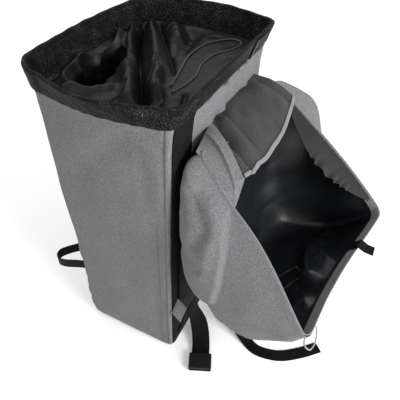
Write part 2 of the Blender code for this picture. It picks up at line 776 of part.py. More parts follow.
def build_gear_loop(group, name, side, material):
    """Webbing loop low on the front face, its width upright."""
    height = LOOP_HEIGHT
    row = body_row(height)
    face = row["front"] * BODY_DEPTH + 2 * GAP
    outer = side * (BODY_WIDTH / 2 - BODY_CORNER * 1.4 - 0.004)
    inner = outer - side * LOOP_SPAN
    straight = BODY_WIDTH * row["width"] / 2 - row["far_left"] * BODY_CORNER
    swell = [row["bulge_front"] * BODY_DEPTH
             * math.sin(math.pi * (straight - abs(place)) / (2 * straight))
             for place in (outer, inner)]
    stops = [(outer, face + swell[0], height),
             (outer + side * 0.010, face + LOOP_REACH * 0.5, height),
             (outer + side * 0.020, face + LOOP_REACH, height - 0.004),
             (outer - side * 0.006, face + LOOP_REACH * 0.86, height),
             (inner + side * 0.010, face + LOOP_REACH * 0.42, height),
             (inner, face + swell[1], height)]
    return ribbon(group, name, stops, [(0.0, 0.0, 1.0)] * 6, LOOP_WEB, WEBBING, material,
                  spacing=0.010)


def build_side_label(group, material):
    """Blank label sewn by one edge across the left strip, standing off it and drooping."""
    seam = []
    for share in np.linspace(0.0, 1.0, 4):
        ring = outline(LABEL_HEIGHT + LABEL_RISE * share, 2 * GAP + PANEL + LABEL_SLACK)
        place = LABEL_FIRST + (LABEL_LAST - LABEL_FIRST) * share
        low = int(place)
        seam.append(ring[low] + (ring[low + 1] - ring[low]) * (place - low))
    seam = np.array(seam)
    reach = np.array(LABEL_REACH)
    facing = np.cross(seam[-1] - seam[0], reach)
    facing *= PANEL / 2 / np.linalg.norm(facing)
    grid = seam[:, None] + reach * np.linspace(0.0, 1.0, 4)[None, :, None]
    grid[..., 2] -= LABEL_DROOP * np.linspace(0.0, 1.0, 4) ** 2
    slab(group, "side_label", grid - facing, grid + facing, material)


def main():
    """Build the whole bag."""
    clear_scene()
    bag = new_collection("haul_bag")
    cutters = new_collection("cutters")
    grey = finish("grey_cloth", (0.23, 0.235, 0.24), 0.85)
    black = finish("black_cloth", (0.018, 0.018, 0.019), 0.8)
    web = finish("black_webbing", (0.012, 0.012, 0.013), 0.6)
    nylon = finish("black_nylon", (0.014, 0.013, 0.013), 0.55)
    mesh = finish("black_mesh", (0.02, 0.02, 0.02), 0.9)
    plastic = finish("black_plastic", (0.015, 0.015, 0.016), 0.4)
    line = finish("grey_cord", (0.35, 0.35, 0.34), 0.7)
    dark = finish("black_cord", (0.014, 0.014, 0.014), 0.7)
    pale = finish("label_cloth", (0.30, 0.305, 0.31), 0.8)

    build_shell(bag, grey)
    build_rim_binding(bag, web)
    build_harness_panels(bag, black, grey)
    build_collar(bag, nylon)
    shelf = BODY_HEIGHT - COLLAR_SHELF + GAP + CORD / 2
    cord(bag, "drawcord", [(-0.052, -0.050, shelf), (-0.030, -0.046, shelf),
                           (0.009, -0.036, shelf), (0.060, -0.024, shelf),
                           (0.112, -0.026, shelf), (0.142, -0.044, shelf + 0.001),
                           (0.158, -0.066, shelf + 0.002), (0.150, -0.084, shelf + 0.001),
                           (0.120, -0.078, shelf), (0.083, -0.060, shelf),
                           (0.040, -0.058, shelf), (0.000, -0.068, shelf),
                           (-0.034, -0.068, shelf), (-0.068, -0.062, shelf)], CORD, dark)
    for name, side in (("left", -1.0), ("right", 1.0)):
        build_shoulder_strap(bag, f"shoulder_strap_{name}", side, mesh)
        build_lower_strap(bag, f"lower_strap_{name}", side, web)
        build_gear_loop(bag, f"gear_loop_{name}", side, web)
    build_lid_hood(bag, grey)
    build_lid_neck_panel(bag, grey)
    build_lid_rim_hem(bag, grey)
    build_lid_facing(bag, "lid_facing_right", 1.0, 0.0, nylon)
    build_lid_facing(bag, "lid_facing_left", -1.0, 1.0, nylon)
    build_lid_front_tab(bag, web)
    build_lid_cord_loop(bag, line)
    build_lid_strap(bag, web)
    build_hip_belt(bag, "hip_belt_left", -1.0, web)
    build_hip_belt(bag, "hip_belt_right", 1.0, web)
    build_buckle_socket(bag, cutters, -1.0, plastic)
    build_buckle_plug(bag, 1.0, plastic)
    build_side_label(bag, pale)


main()
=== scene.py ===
"""Looks of an upright open-topped haul bag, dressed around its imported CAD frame.

Metres, +Z up, in the frame of the CAD: the harness face looks along -Y, the front face along
+Y, and the width runs along X. The hooded lid hangs open over the harness face.
"""
import logging
import math
from dataclasses import dataclass, field
from enum import Enum

import bpy
import numpy as np
from mathutils import Matrix


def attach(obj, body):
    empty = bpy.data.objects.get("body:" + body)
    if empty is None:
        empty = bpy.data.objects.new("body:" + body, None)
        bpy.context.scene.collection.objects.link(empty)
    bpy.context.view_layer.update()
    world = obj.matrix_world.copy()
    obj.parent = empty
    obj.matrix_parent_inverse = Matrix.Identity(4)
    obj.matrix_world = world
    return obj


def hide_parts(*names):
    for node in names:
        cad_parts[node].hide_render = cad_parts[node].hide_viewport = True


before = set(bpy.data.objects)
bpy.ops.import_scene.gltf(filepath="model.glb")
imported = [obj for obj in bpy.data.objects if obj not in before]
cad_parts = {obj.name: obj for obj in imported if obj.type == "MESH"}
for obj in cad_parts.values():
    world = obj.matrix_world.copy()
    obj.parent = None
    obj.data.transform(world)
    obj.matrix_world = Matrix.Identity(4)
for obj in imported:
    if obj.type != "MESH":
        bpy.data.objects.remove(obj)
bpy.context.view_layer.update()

log = logging.getLogger("haul_bag")
Array = np.ndarray
Point = tuple[float, float, float]
Colour = tuple[float, float, float]

CLOTH = 0.0020
WEBBING = 0.0016
LINER = 0.0015
PANEL = 0.0014
GAP = 0.0003


# Numbers on grids


def unit(vectors: Array) -> Array:
    """Vectors divided by their lengths."""
    return vectors / np.maximum(np.linalg.norm(vectors, axis=-1, keepdims=True), 1e-9)


def ease(low: float, high: float, value: Array) -> Array:
    """Smooth step from 0 at low to 1 at high: 3 t squared less 2 t cubed."""
    share = np.clip((value - low) / (high - low), 0.0, 1.0)
    return share * share * (3.0 - 2.0 * share)


def swell(points: Array, size: float, seed: int, waves: int = 7) -> Array:
    """Soft seeded unevenness of cloth: the mean of sines along scattered directions.

    Args:
        points: any array of places, its last axis x, y, z.
        size: the usual distance between two crests.
        seed: number that fixes the pattern.
        waves: how many sines are added.

    Returns:
        Heights of about -1 to 1, one per place.
    """
    draw = np.random.default_rng(seed)
    ways = unit(draw.normal(size=(waves, points.shape[-1])))
    steps = 2.0 * math.pi / (size * draw.uniform(0.7, 1.6, waves))
    phases = draw.uniform(0.0, 2.0 * math.pi, waves)
    return np.sin(points @ (ways * steps[:, None]).T + phases).sum(axis=-1) / waves ** 0.5


def crumple(points: Array, size: float, seed: int, waves: int = 6) -> Array:
    """Sharp seeded creases: the mean of one less the size of a bent sine, about zero."""
    bent = points + 0.22 * size * np.stack(
        [swell(points, size * 1.7, seed + axis + 1) for axis in range(points.shape[-1])], axis=-1)
    draw = np.random.default_rng(seed)
    ways = unit(draw.normal(size=(waves, points.shape[-1])))
    steps = math.pi / (size * draw.uniform(0.7, 1.8, waves))
    phases = draw.uniform(0.0, 2.0 * math.pi, waves)
    ridges = 1.0 - np.abs(np.sin(bent @ (ways * steps[:, None]).T + phases))
    return (ridges.mean(axis=-1) - 0.363) * 2.2


def grid_normals(grid: Array, wrap_columns: bool = False, wrap_rows: bool = False) -> Array:
    """Unit normals of a grid: the cross product of its steps down and across."""
    down = (np.roll(grid, -1, 0) - np.roll(grid, 1, 0)) if wrap_rows else np.gradient(grid, axis=0)
    across = ((np.roll(grid, -1, 1) - np.roll(grid, 1, 1)) if wrap_columns
              else np.gradient(grid, axis=1))
    return unit(np.cross(across, down))


def smooth_route(stops: Array, spacing: float) -> Array:
    """Points every spacing along a Catmull-Rom curve through the stops.

    Each stretch is the usual cubic of its two ends and their two neighbours, worked out for
    all stretches at once, and is then resampled by walked length.

    Args:
        stops: places or rows of values, at least two.
        spacing: wanted distance between the returned points.

    Returns:
        The resampled rows.
    """
    stops = np.asarray(stops, float)
    ends = np.concatenate([[2 * stops[0] - stops[1]], stops, [2 * stops[-1] - stops[-2]]])
    before, start, end, after = ends[:-3, None], ends[1:-2, None], ends[2:-1, None], ends[3:, None]
    share = np.linspace(0.0, 1.0, 24, endpoint=False)[None, :, None]
    fine = 0.5 * (2 * start + (end - before) * share
                  + (2 * before - 5 * start + 4 * end - after) * share ** 2
                  + (3 * start - before - 3 * end + after) * share ** 3)
    fine = np.concatenate([fine.reshape(-1, stops.shape[1]), stops[-1:]])
    walked = np.concatenate([[0.0], np.cumsum(np.linalg.norm(np.diff(fine[:, :3], axis=0), axis=1))])
    marks = np.linspace(0.0, walked[-1], max(2, round(walked[-1] / spacing) + 1))
    return np.stack([np.interp(marks, walked, column) for column in fine.T], axis=1)


class Edge(Enum):
    """How a fold ends beside its line."""

    ROUND = "round"
    SHARP = "sharp"


@dataclass(frozen=True)
class Fold:
    """A fold along a line on a surface, in that surface's two flat measures."""

    line: tuple[tuple[float, float], ...]
    width: float
    rise: float
    edge: Edge = Edge.ROUND

    def distance(self, first: Array, second: Array) -> Array:
        """Distance from each place to the nearest stretch of the line."""
        stops = np.array(self.line, float)
        start = stops[:-1]
        step = stops[1:] - start
        place = np.stack([first, second], axis=-1)[..., None, :]
        share = ((place - start) * step).sum(-1) / (step * step).sum(-1)
        nearest = start + step * np.clip(share, 0.0, 1.0)[..., None]
        return np.linalg.norm(place - nearest, axis=-1).min(axis=-1)

    def height(self, first: Array, second: Array) -> Array:
        """Rise times a bell of the distance over the width, or a peaked tent if it is sharp."""
        ratio = self.distance(first, second) / self.width
        bell = np.exp(-ratio * ratio) if self.edge is Edge.ROUND else np.exp(-1.6 * ratio)
        return self.rise * bell


def folded(folds: tuple[Fold, ...], first: Array, second: Array) -> Array:
    """Sum of the heights of several folds."""
    total = np.zeros(np.broadcast(first, second).shape)
    for fold in folds:
        total = total + fold.height(first, second)
    return total


# Meshes


def grid_faces(rows: int, columns: int, wrap_rows: bool, wrap_columns: bool) -> Array:
    """Four corner numbers of each face of a grid of points."""
    row = np.arange(rows if wrap_rows else rows - 1)[:, None]
    column = np.arange(columns if wrap_columns else columns - 1)[None, :]
    below = (row + 1) % rows
    beside = (column + 1) % columns
    corners = [row * columns + column, row * columns + beside,
               below * columns + beside, below * columns + column]
    return np.stack([np.broadcast_to(c, (row.size, column.size)) for c in corners], -1).reshape(-1, 4)


def grid_lengths(grid: Array, wrap_columns: bool, wrap_rows: bool) -> tuple[Array, Array]:
    """Mean walked length across and down a grid, in metres, one value more where it wraps."""
    wide = np.concatenate([grid, grid[:, :1]], axis=1) if wrap_columns else grid
    tall = np.concatenate([grid, grid[:1]], axis=0) if wrap_rows else grid
    across = np.linalg.norm(np.diff(wide, axis=1), axis=-1).mean(axis=0)
    down = np.linalg.norm(np.diff(tall, axis=0), axis=-1).mean(axis=1)
    return (np.concatenate([[0.0], np.cumsum(across)]), np.concatenate([[0.0], np.cumsum(down)]))


@dataclass
class Piece:
    """A surface on its way to being a finished object of the bag."""

    name: str
    grid: Array
    wrap_columns: bool = False
    wrap_rows: bool = False
    cap_first: bool = False
    cap_last: bool = False
    middle: Point | None = None
    facing: Point | None = None

    def faces(self) -> tuple[Array, list[list[int]]]:
        """Faces of the grid, and its caps, turned to look away from middle or along facing."""
        rows, columns = self.grid.shape[:2]
        quads = grid_faces(rows, columns, self.wrap_rows, self.wrap_columns)
        points = self.grid.reshape(-1, 3)
        corner = points[quads]
        normal = np.cross(corner[:, 2] - corner[:, 0], corner[:, 3] - corner[:, 1])
        if self.facing is not None:
            outward = (normal @ np.array(self.facing)).sum()
        elif self.middle is not None:
            outward = (normal * (corner.mean(axis=1) - np.array(self.middle))).sum()
        else:
            centres = self.grid.mean(axis=1 if self.wrap_columns else 0, keepdims=True)
            away = (self.grid - centres).reshape(-1, 3)[quads].mean(axis=1)
            outward = (normal * away).sum()
        turned = outward < 0.0
        caps = []
        if self.cap_first:
            caps.append(list(range(columns))[::-1])
        if self.cap_last:
            caps.append(list(range((rows - 1) * columns, rows * columns)))
        if turned:
            quads = quads[:, ::-1]
            caps = [cap[::-1] for cap in caps]
        return quads, caps

    def build(self, material: bpy.types.Material, wall: float = 0.0,
              lining: bpy.types.Material | None = None, side: float = -1.0,
              sharp: float = 180.0) -> bpy.types.Object:
        """Make the object, its texture map in metres, and its wall by Solidify.

        Args:
            material: finish of the outside.
            wall: thickness of the cloth, or 0 for a closed body.
            lining: finish of the inside, where it differs.
            side: -1 puts the wall behind the surface, 0 on both sides.
            sharp: angle past which an edge is drawn sharp, in degrees.

        Returns:
            The new object, at the origin.
        """
        quads, caps = self.faces()
        mesh = bpy.data.meshes.new(self.name)
        mesh.from_pydata(self.grid.reshape(-1, 3).tolist(), [], quads.tolist() + caps)
        across, down = grid_lengths(self.grid, self.wrap_columns, self.wrap_rows)
        rows, columns = self.grid.shape[:2]
        column = quads % columns
        row = quads // columns
        if self.wrap_columns:
            column = np.where((column == 0) & (column.max(axis=1, keepdims=True) == columns - 1)
                              & (column.max(axis=1, keepdims=True) - column > 1), columns, column)
        if self.wrap_rows:
            row = np.where((row == 0) & (row.max(axis=1, keepdims=True) == rows - 1)
                           & (row.max(axis=1, keepdims=True) - row > 1), rows, row)
        flat = np.zeros((len(mesh.loops), 2))
        flat[:quads.size] = np.stack([across[column.ravel()], down[row.ravel()]], axis=1)
        layer = mesh.uv_layers.new(name="cloth")
        layer.data.foreach_set("uv", flat.astype(np.float32).ravel())
        mesh.materials.append(material)
        mesh.shade_smooth()
        if sharp < 180.0:
            mesh.set_sharp_from_angle(angle=math.radians(sharp))
        item = bpy.data.objects.new(self.name, mesh)
        bpy.context.scene.collection.objects.link(item)
        if wall:
            shell = item.modifiers.new("wall", "SOLIDIFY")
            shell.thickness = wall
            shell.offset = side
            if lining is not None:
                mesh.materials.append(lining)
                shell.material_offset = 1
        return item


def fit(item: bpy.types.Object, slot: str, *nodes: str) -> bpy.types.Object:
    """Let a piece ride on the bag, and put it in place of its CAD nodes."""
    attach(item, "root")
    if nodes:
        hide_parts(*nodes)
    log.info("piece %s, %d points, in place of %s", item.name,
             len(item.data.vertices) if item.type == "MESH" else 0, nodes or "nothing")
    return item


# Finishes


class Wiring:
    """A material being wired: its nodes are added and joined by these methods."""

    def __init__(self, name: str) -> None:
        """Start a material with its Principled shader."""
        self.material = bpy.data.materials.new(name)
        self.material.use_nodes = True
        self.tree = self.material.node_tree
        self.shader = self.tree.nodes["Principled BSDF"]
        self.coords = self.tree.nodes.new("ShaderNodeTexCoord")

    def node(self, kind: str, **settings: object) -> bpy.types.Node:
        """Add a node and set its properties."""
        made = self.tree.nodes.new("ShaderNode" + kind)
        for key, value in settings.items():
            setattr(made, key, value)
        return made

    def link(self, source: bpy.types.NodeSocket, target: bpy.types.NodeSocket) -> None:
        """Join two sockets."""
        self.tree.links.new(source, target)

    def noise(self, scale: float, detail: float = 2.0, stretch: Point = (1.0, 1.0, 1.0),
              flat: bool = False) -> bpy.types.NodeSocket:
        """Noise on the object's own coordinates, or on the cloth map if flat."""
        place = self.node("Mapping")
        place.inputs["Scale"].default_value = stretch
        self.link(self.coords.outputs["UV" if flat else "Object"], place.inputs["Vector"])
        grain = self.node("TexNoise")
        grain.inputs["Scale"].default_value = scale
        grain.inputs["Detail"].default_value = detail
        self.link(place.outputs["Vector"], grain.inputs["Vector"])
        return grain.outputs["Fac"]

    def math(self, operation: str, first: bpy.types.NodeSocket,
             second: "bpy.types.NodeSocket | float" = 0.0) -> bpy.types.NodeSocket:
        """A Math node on one socket and a socket or number."""
        sums = self.node("Math", operation=operation)
        self.link(first, sums.inputs[0])
        if isinstance(second, float):
            sums.inputs[1].default_value = second
        else:
            self.link(second, sums.inputs[1])
        return sums.outputs[0]

    def ribs(self, pitch: float, slant: float = 0.0, mirror: float = 0.0) -> bpy.types.NodeSocket:
        """Rounded threads along the cloth map: a sine of v plus slant times u.

        Args:
            pitch: distance between two threads.
            slant: how far the threads lean; 1 is 45 degrees.
            mirror: width after which the lean turns back, as in a herringbone, or 0.

        Returns:
            A height from 0 to 1.
        """
        split = self.node("SeparateXYZ")
        self.link(self.coords.outputs["UV"], split.inputs[0])
        across = split.outputs["X"]
        if mirror:
            across = self.math("PINGPONG", across, mirror)
        lean = self.math("MULTIPLY", across, slant)
        walk = self.math("ADD", split.outputs["Y"], lean)
        wave = self.math("SINE", self.math("MULTIPLY", walk, 2.0 * math.pi / pitch))
        return self.half(wave)

    def half(self, wave: bpy.types.NodeSocket) -> bpy.types.NodeSocket:
        """A wave of -1 to 1 brought to 0 to 1."""
        return self.math("ADD", self.math("MULTIPLY", wave, 0.5), 0.5)

    def ramp(self, factor: bpy.types.NodeSocket,
             stops: tuple[tuple[float, Colour], ...]) -> bpy.types.NodeSocket:
        """Colour ramp through (place, colour) stops."""
        made = self.node("ValToRGB")
        elements = made.color_ramp.elements
        while len(elements) < len(stops):
            elements.new(0.5)
        for element, (place, colour) in zip(elements, stops):
            element.position = place
            element.color = (*colour, 1.0)
        self.link(factor, made.inputs["Fac"])
        return made.outputs["Color"]

    def blend(self, factor: bpy.types.NodeSocket, first: bpy.types.NodeSocket,
              second: bpy.types.NodeSocket, mode: str = "MIX") -> bpy.types.NodeSocket:
        """Mix two colours by a factor."""
        made = self.node("Mix", data_type="RGBA", blend_type=mode)
        self.link(factor, made.inputs["Factor"])
        self.link(first, made.inputs["A"])
        self.link(second, made.inputs["B"])
        return made.outputs["Result"]

    def span(self, factor: bpy.types.NodeSocket, low: float, high: float) -> bpy.types.NodeSocket:
        """A factor of 0 to 1 spread from low to high."""
        made = self.node("MapRange")
        made.inputs["To Min"].default_value = low
        made.inputs["To Max"].default_value = high
        self.link(factor, made.inputs["Value"])
        return made.outputs["Result"]

    def bump(self, heights: tuple[tuple[bpy.types.NodeSocket, float, float], ...]) -> None:
        """Stack bumps of (height, depth in metres, strength) into the shader's normal."""
        normal = None
        for height, depth, strength in heights:
            made = self.node("Bump")
            made.inputs["Distance"].default_value = depth
            made.inputs["Strength"].default_value = strength
            self.link(height, made.inputs["Height"])
            if normal is not None:
                self.link(normal, made.inputs["Normal"])
            normal = made.outputs["Normal"]
        self.link(normal, self.shader.inputs["Normal"])

    def plain(self, **values: object) -> None:
        """Set constant values on the shader's own sockets, named with _ for a space."""
        for key, value in values.items():
            self.shader.inputs[key.replace("_", " ")].default_value = value


@dataclass(frozen=True)
class HeatherCloth:
    """Coated pack cloth woven from light and dark yarns, so that it looks mottled."""

    name: str
    dark: Colour
    light: Colour
    sheen: float = 0.05

    def material(self) -> bpy.types.Material:
        """Yarn mottle at three sizes, a fine plain weave and a soft change over the panel."""
        wire = Wiring(self.name)
        yarn = wire.noise(1150.0, 2.0)
        slub = wire.noise(640.0, 2.0, (1.0, 1.0, 0.7))
        broad = wire.noise(7.0, 3.0)
        fleck = wire.math("ADD", wire.math("MULTIPLY", yarn, 0.45),
                          wire.math("MULTIPLY", slub, 0.55))
        mottle = wire.ramp(fleck, ((0.34, self.dark), (0.66, self.light)))
        soft = wire.ramp(broad, ((0.25, (0.86, 0.86, 0.87)), (0.75, (1.0, 1.0, 1.0))))
        one = wire.node("Value")
        one.outputs[0].default_value = 1.0
        wire.link(wire.blend(one.outputs[0], mottle, soft, "MULTIPLY"),
                  wire.shader.inputs["Base Color"])
        wire.link(wire.span(yarn, 0.72, 0.92), wire.shader.inputs["Roughness"])
        wire.plain(Sheen_Weight=self.sheen, Sheen_Roughness=0.5, Specular_IOR_Level=0.22)
        weave = wire.math("MAXIMUM", wire.ribs(0.0011, 0.0), wire.ribs(0.0011, 1.0))
        wire.bump(((weave, 0.00012, 0.35), (slub, 0.0003, 0.25)))
        return wire.material


@dataclass(frozen=True)
class RibbedWebbing:
    """Woven webbing: a herringbone of ribs with painted highlights, pale glints in the base colour where
    yarns cross the light.
    """

    name: str
    base: Colour = (0.0024, 0.0023, 0.0023)
    glint: Colour = (0.045, 0.044, 0.041)
    glints: float = 0.66
    rib: float = 0.0017

    def material(self) -> bpy.types.Material:
        """Herringbone ribs for the bump, and thresholded grain for the glints, which are painted
        highlights.
        """
        wire = Wiring(self.name)
        ribs = wire.ribs(self.rib, 1.1, 0.0052)
        grain = wire.noise(620.0, 2.0)
        patch = wire.noise(38.0, 2.0)
        lit = wire.math("MULTIPLY", grain, wire.span(patch, 0.78, 1.18))
        lit = wire.math("MULTIPLY", lit, wire.span(ribs, 0.86, 1.12))
        # Painted highlight: past the threshold the black base turns to the pale glint colour.
        colour = wire.ramp(lit, ((self.glints - 0.07, self.base), (self.glints + 0.08, self.glint)))
        wire.link(colour, wire.shader.inputs["Base Color"])
        wire.link(wire.span(grain, 0.42, 0.72), wire.shader.inputs["Roughness"])
        wire.plain(Specular_IOR_Level=0.09)
        wire.bump(((ribs, 0.0005, 0.6), (grain, 0.0002, 0.4)))
        return wire.material


@dataclass(frozen=True)
class ThinNylon:
    """Light nylon lining, soft and dull with a faint square ripstop."""

    name: str
    base: Colour = (0.0048, 0.0044, 0.0045)
    rough: float = 0.44
    sheen: float = 0.0

    def material(self) -> bpy.types.Material:
        """Fine weave, small wrinkles and a slow change of colour."""
        wire = Wiring(self.name)
        broad = wire.noise(14.0, 3.0)
        fine = wire.noise(120.0, 4.0)
        grain = wire.noise(1100.0, 1.0)
        dim = tuple(0.68 * part for part in self.base)
        bright = tuple(1.35 * part for part in self.base)
        wire.link(wire.ramp(broad, ((0.3, dim), (0.7, bright))), wire.shader.inputs["Base Color"])
        wire.link(wire.span(fine, self.rough - 0.08, self.rough + 0.1),
                  wire.shader.inputs["Roughness"])
        wire.plain(Sheen_Weight=self.sheen, Sheen_Roughness=0.4, Specular_IOR_Level=0.26)
        wire.bump(((fine, 0.0012, 0.22), (grain, 0.0001, 0.3)))
        return wire.material


@dataclass(frozen=True)
class CoatedCloth:
    """Inside of the coated cloth: blue-black with a slick film over the weave."""

    name: str
    base: Colour = (0.0068, 0.0080, 0.0104)
    gloss: float = 0.34

    def material(self) -> bpy.types.Material:
        """Film with slow waves, faint wear and the weave just showing through."""
        wire = Wiring(self.name)
        slow = wire.noise(24.0, 3.0)
        fine = wire.noise(240.0, 3.0)
        dim = tuple(0.8 * part for part in self.base)
        bright = tuple(1.3 * part for part in self.base)
        wire.link(wire.ramp(slow, ((0.3, dim), (0.72, bright))), wire.shader.inputs["Base Color"])
        wire.link(wire.span(fine, self.gloss - 0.05, self.gloss + 0.12),
                  wire.shader.inputs["Roughness"])
        wire.plain(Coat_Weight=0.06, Coat_Roughness=0.3, Specular_IOR_Level=0.46)
        wire.bump(((slow, 0.004, 0.12), (wire.ribs(0.0012), 0.00008, 0.25)))
        return wire.material


@dataclass(frozen=True)
class PackCloth:
    """Dull black woven cloth of the strips and the back panel."""

    name: str
    base: Colour = (0.0040, 0.0040, 0.0042)

    def material(self) -> bpy.types.Material:
        """Square weave with dust lying in it."""
        wire = Wiring(self.name)
        dust = wire.noise(420.0, 3.0)
        broad = wire.noise(16.0, 3.0)
        lit = wire.math("MULTIPLY", dust, wire.span(broad, 0.8, 1.15))
        pale = tuple(3.2 * part for part in self.base)
        wire.link(wire.ramp(lit, ((0.5, self.base), (0.72, pale))), wire.shader.inputs["Base Color"])
        wire.link(wire.span(dust, 0.7, 0.95), wire.shader.inputs["Roughness"])
        wire.plain(Specular_IOR_Level=0.10)
        weave = wire.math("MULTIPLY", wire.ribs(0.0013), wire.ribs(0.0013, 1.0))
        wire.bump(((weave, 0.0002, 0.5),))
        return wire.material


@dataclass(frozen=True)
class SpacerMesh:
    """Knitted spacer mesh: rows of small dark holes in a black knit."""

    name: str
    knit: Colour = (0.0110, 0.0112, 0.0120)
    hole: Colour = (0.0035, 0.0035, 0.0040)
    pitch: float = 0.0030

    def material(self) -> bpy.types.Material:
        """Voronoi cells on the cloth map, dark at their middles."""
        wire = Wiring(self.name)
        cells = wire.node("TexVoronoi")
        cells.inputs["Scale"].default_value = 1.0 / self.pitch
        cells.inputs["Randomness"].default_value = 0.25
        wire.link(wire.coords.outputs["UV"], cells.inputs["Vector"])
        grain = wire.noise(800.0, 2.0)
        wire.link(wire.ramp(cells.outputs["Distance"], ((0.22, self.hole), (0.42, self.knit))),
                  wire.shader.inputs["Base Color"])
        wire.link(wire.span(grain, 0.7, 0.95), wire.shader.inputs["Roughness"])
        wire.plain(Specular_IOR_Level=0.14)
        wire.bump(((cells.outputs["Distance"], 0.0008, 0.7), (grain, 0.0002, 0.4)))
        return wire.material


@dataclass(frozen=True)
class MouldedPlastic:
    """Moulded acetal of the buckle, satin with rubbed edges."""

    name: str
    base: Colour = (0.0060, 0.0060, 0.0062)

    def material(self) -> bpy.types.Material:
        """Fine moulded grain, and scuffs that are paler and duller."""
        wire = Wiring(self.name)
        grain = wire.noise(1500.0, 2.0)
        scuff = wire.noise(160.0, 4.0, (1.0, 3.0, 1.0))
        rubbed = tuple(2.6 * part for part in self.base)
        wire.link(wire.ramp(scuff, ((0.56, self.base), (0.72, rubbed))),
                  wire.shader.inputs["Base Color"])
        wire.link(wire.span(scuff, 0.26, 0.52), wire.shader.inputs["Roughness"])
        wire.plain(Specular_IOR_Level=0.5)
        wire.bump(((grain, 0.00006, 0.4), (scuff, 0.0002, 0.2)))
        return wire.material


@dataclass(frozen=True)
class Braid:
    """Braided cord or sewing thread: two slants of strands over each other."""

    name: str
    base: Colour
    fleck: Colour
    pitch: float = 0.0016

    def material(self) -> bpy.types.Material:
        """Crossing ribs on the cloth map, with flecks of a second yarn."""
        wire = Wiring(self.name)
        weave = wire.math("MAXIMUM", wire.ribs(self.pitch, 1.4), wire.ribs(self.pitch, -1.4))
        grain = wire.noise(900.0, 2.0)
        lit = wire.math("MULTIPLY", weave, grain)
        wire.link(wire.ramp(lit, ((0.38, self.base), (0.6, self.fleck))),
                  wire.shader.inputs["Base Color"])
        wire.link(wire.span(grain, 0.5, 0.75), wire.shader.inputs["Roughness"])
        wire.plain(Sheen_Weight=0.1, Specular_IOR_Level=0.4)
        wire.bump(((weave, 0.0003, 0.6),))
        return wire.material


@dataclass
class Finishes:
    """Every material of the bag, made once."""

    grey: bpy.types.Material = field(default_factory=lambda: HeatherCloth(
        "grey_heather", (0.070, 0.071, 0.073), (0.215, 0.217, 0.221)).material())
    # Painted shade: a darker copy of the grey heather, worn by the neck panel, which lies in shade.
    shade: bpy.types.Material = field(default_factory=lambda: HeatherCloth(
        "grey_heather_shaded", (0.018, 0.0173, 0.0172), (0.062, 0.060, 0.059)).material())
    hem: bpy.types.Material = field(default_factory=lambda: HeatherCloth(
        "grey_heather_hem", (0.125, 0.127, 0.131), (0.270, 0.273, 0.278)).material())
    # The rim tape and strap webbing carry painted glint highlights, brighter on the tape.
    tape: bpy.types.Material = field(default_factory=lambda: RibbedWebbing(
        "rim_tape_ribs", glint=(0.115, 0.109, 0.100), glints=0.655).material())
    webbing: bpy.types.Material = field(default_factory=lambda: RibbedWebbing(
        "strap_webbing_ribs", glints=0.68).material())
    liner: bpy.types.Material = field(default_factory=lambda: ThinNylon("collar_nylon").material())
    taffeta: bpy.types.Material = field(default_factory=lambda: ThinNylon(
        "facing_taffeta", base=(0.0125, 0.0112, 0.0108), rough=0.5, sheen=0.0).material())
    coated: bpy.types.Material = field(
        default_factory=lambda: CoatedCloth("coated_inside").material())
    pack: bpy.types.Material = field(default_factory=lambda: PackCloth("black_pack_cloth").material())
    mesh: bpy.types.Material = field(default_factory=lambda: SpacerMesh("spacer_mesh").material())
    plastic: bpy.types.Material = field(
        default_factory=lambda: MouldedPlastic("buckle_acetal").material())
    cord: bpy.types.Material = field(default_factory=lambda: Braid(
        "drawcord_braid", (0.034, 0.029, 0.024), (0.170, 0.142, 0.116)).material())
    pale_cord: bpy.types.Material = field(default_factory=lambda: Braid(
        "loop_braid", (0.22, 0.215, 0.205), (0.48, 0.47, 0.45), 0.0012).material())
    thread: bpy.types.Material = field(default_factory=lambda: Braid(
        "dark_thread", (0.014, 0.014, 0.015), (0.040, 0.040, 0.042), 0.0006).material())
    pale_thread: bpy.types.Material = field(default_factory=lambda: Braid(
        "pale_thread", (0.50, 0.49, 0.47), (0.75, 0.74, 0.72), 0.0006).material())
    label: bpy.types.Material = field(default_factory=lambda: HeatherCloth(
        "label_satin", (0.11, 0.114, 0.122), (0.18, 0.184, 0.193), 0.1).material())


# Trimmings shared by the sub-assemblies


@dataclass(frozen=True)
class StitchRow:
    """A row of sewn stitches: small closed beads half sunk in the cloth."""

    pitch: float = 0.0036
    length: float = 0.0027
    width: float = 0.0009
    height: float = 0.0005

    def beads(self, route: Array, normals: Array) -> tuple[Array, Array]:
        """Six corners and eight faces for each stitch along a route.

        Args:
            route: places along the seam, on the surface of the cloth.
            normals: outward direction at each place.

        Returns:
            Points and triangles.
        """
        joined = smooth_route(np.concatenate([route, normals], axis=1), self.pitch)
        place = joined[:, :3]
        ahead = unit(np.gradient(place, axis=0))
        up = unit(joined[:, 3:])
        beside = unit(np.cross(ahead, up))
        corners = np.stack([place - ahead * self.length / 2, place + beside * self.width / 2,
                            place + up * self.height, place - beside * self.width / 2,
                            place - up * self.height, place + ahead * self.length / 2], axis=1)
        faces = np.array([(0, 2, 1), (0, 3, 2), (0, 4, 3), (0, 1, 4),
                          (5, 1, 2), (5, 2, 3), (5, 3, 4), (5, 4, 1)])
        starts = 6 * np.arange(len(place))[:, None, None]
        return corners.reshape(-1, 3), (faces[None] + starts).reshape(-1, 3)

    def sew(self, name: str, rows: list[tuple[Array, Array]], slot: str,
            material: bpy.types.Material) -> bpy.types.Object:
        """One piece of several rows of stitches."""
        points = []
        faces = []
        count = 0
        for route, normals in rows:
            made, corners = self.beads(route, normals)
            points.append(made)
            faces.append(corners + count)
            count += len(made)
        mesh = bpy.data.meshes.new(name)
        mesh.from_pydata(np.concatenate(points).tolist(), [], np.concatenate(faces).tolist())
        mesh.uv_layers.new(name="cloth")
        mesh.materials.append(material)
        mesh.shade_smooth()
        item = bpy.data.objects.new(name, mesh)
        bpy.context.scene.collection.objects.link(item)
        return fit(item, slot)


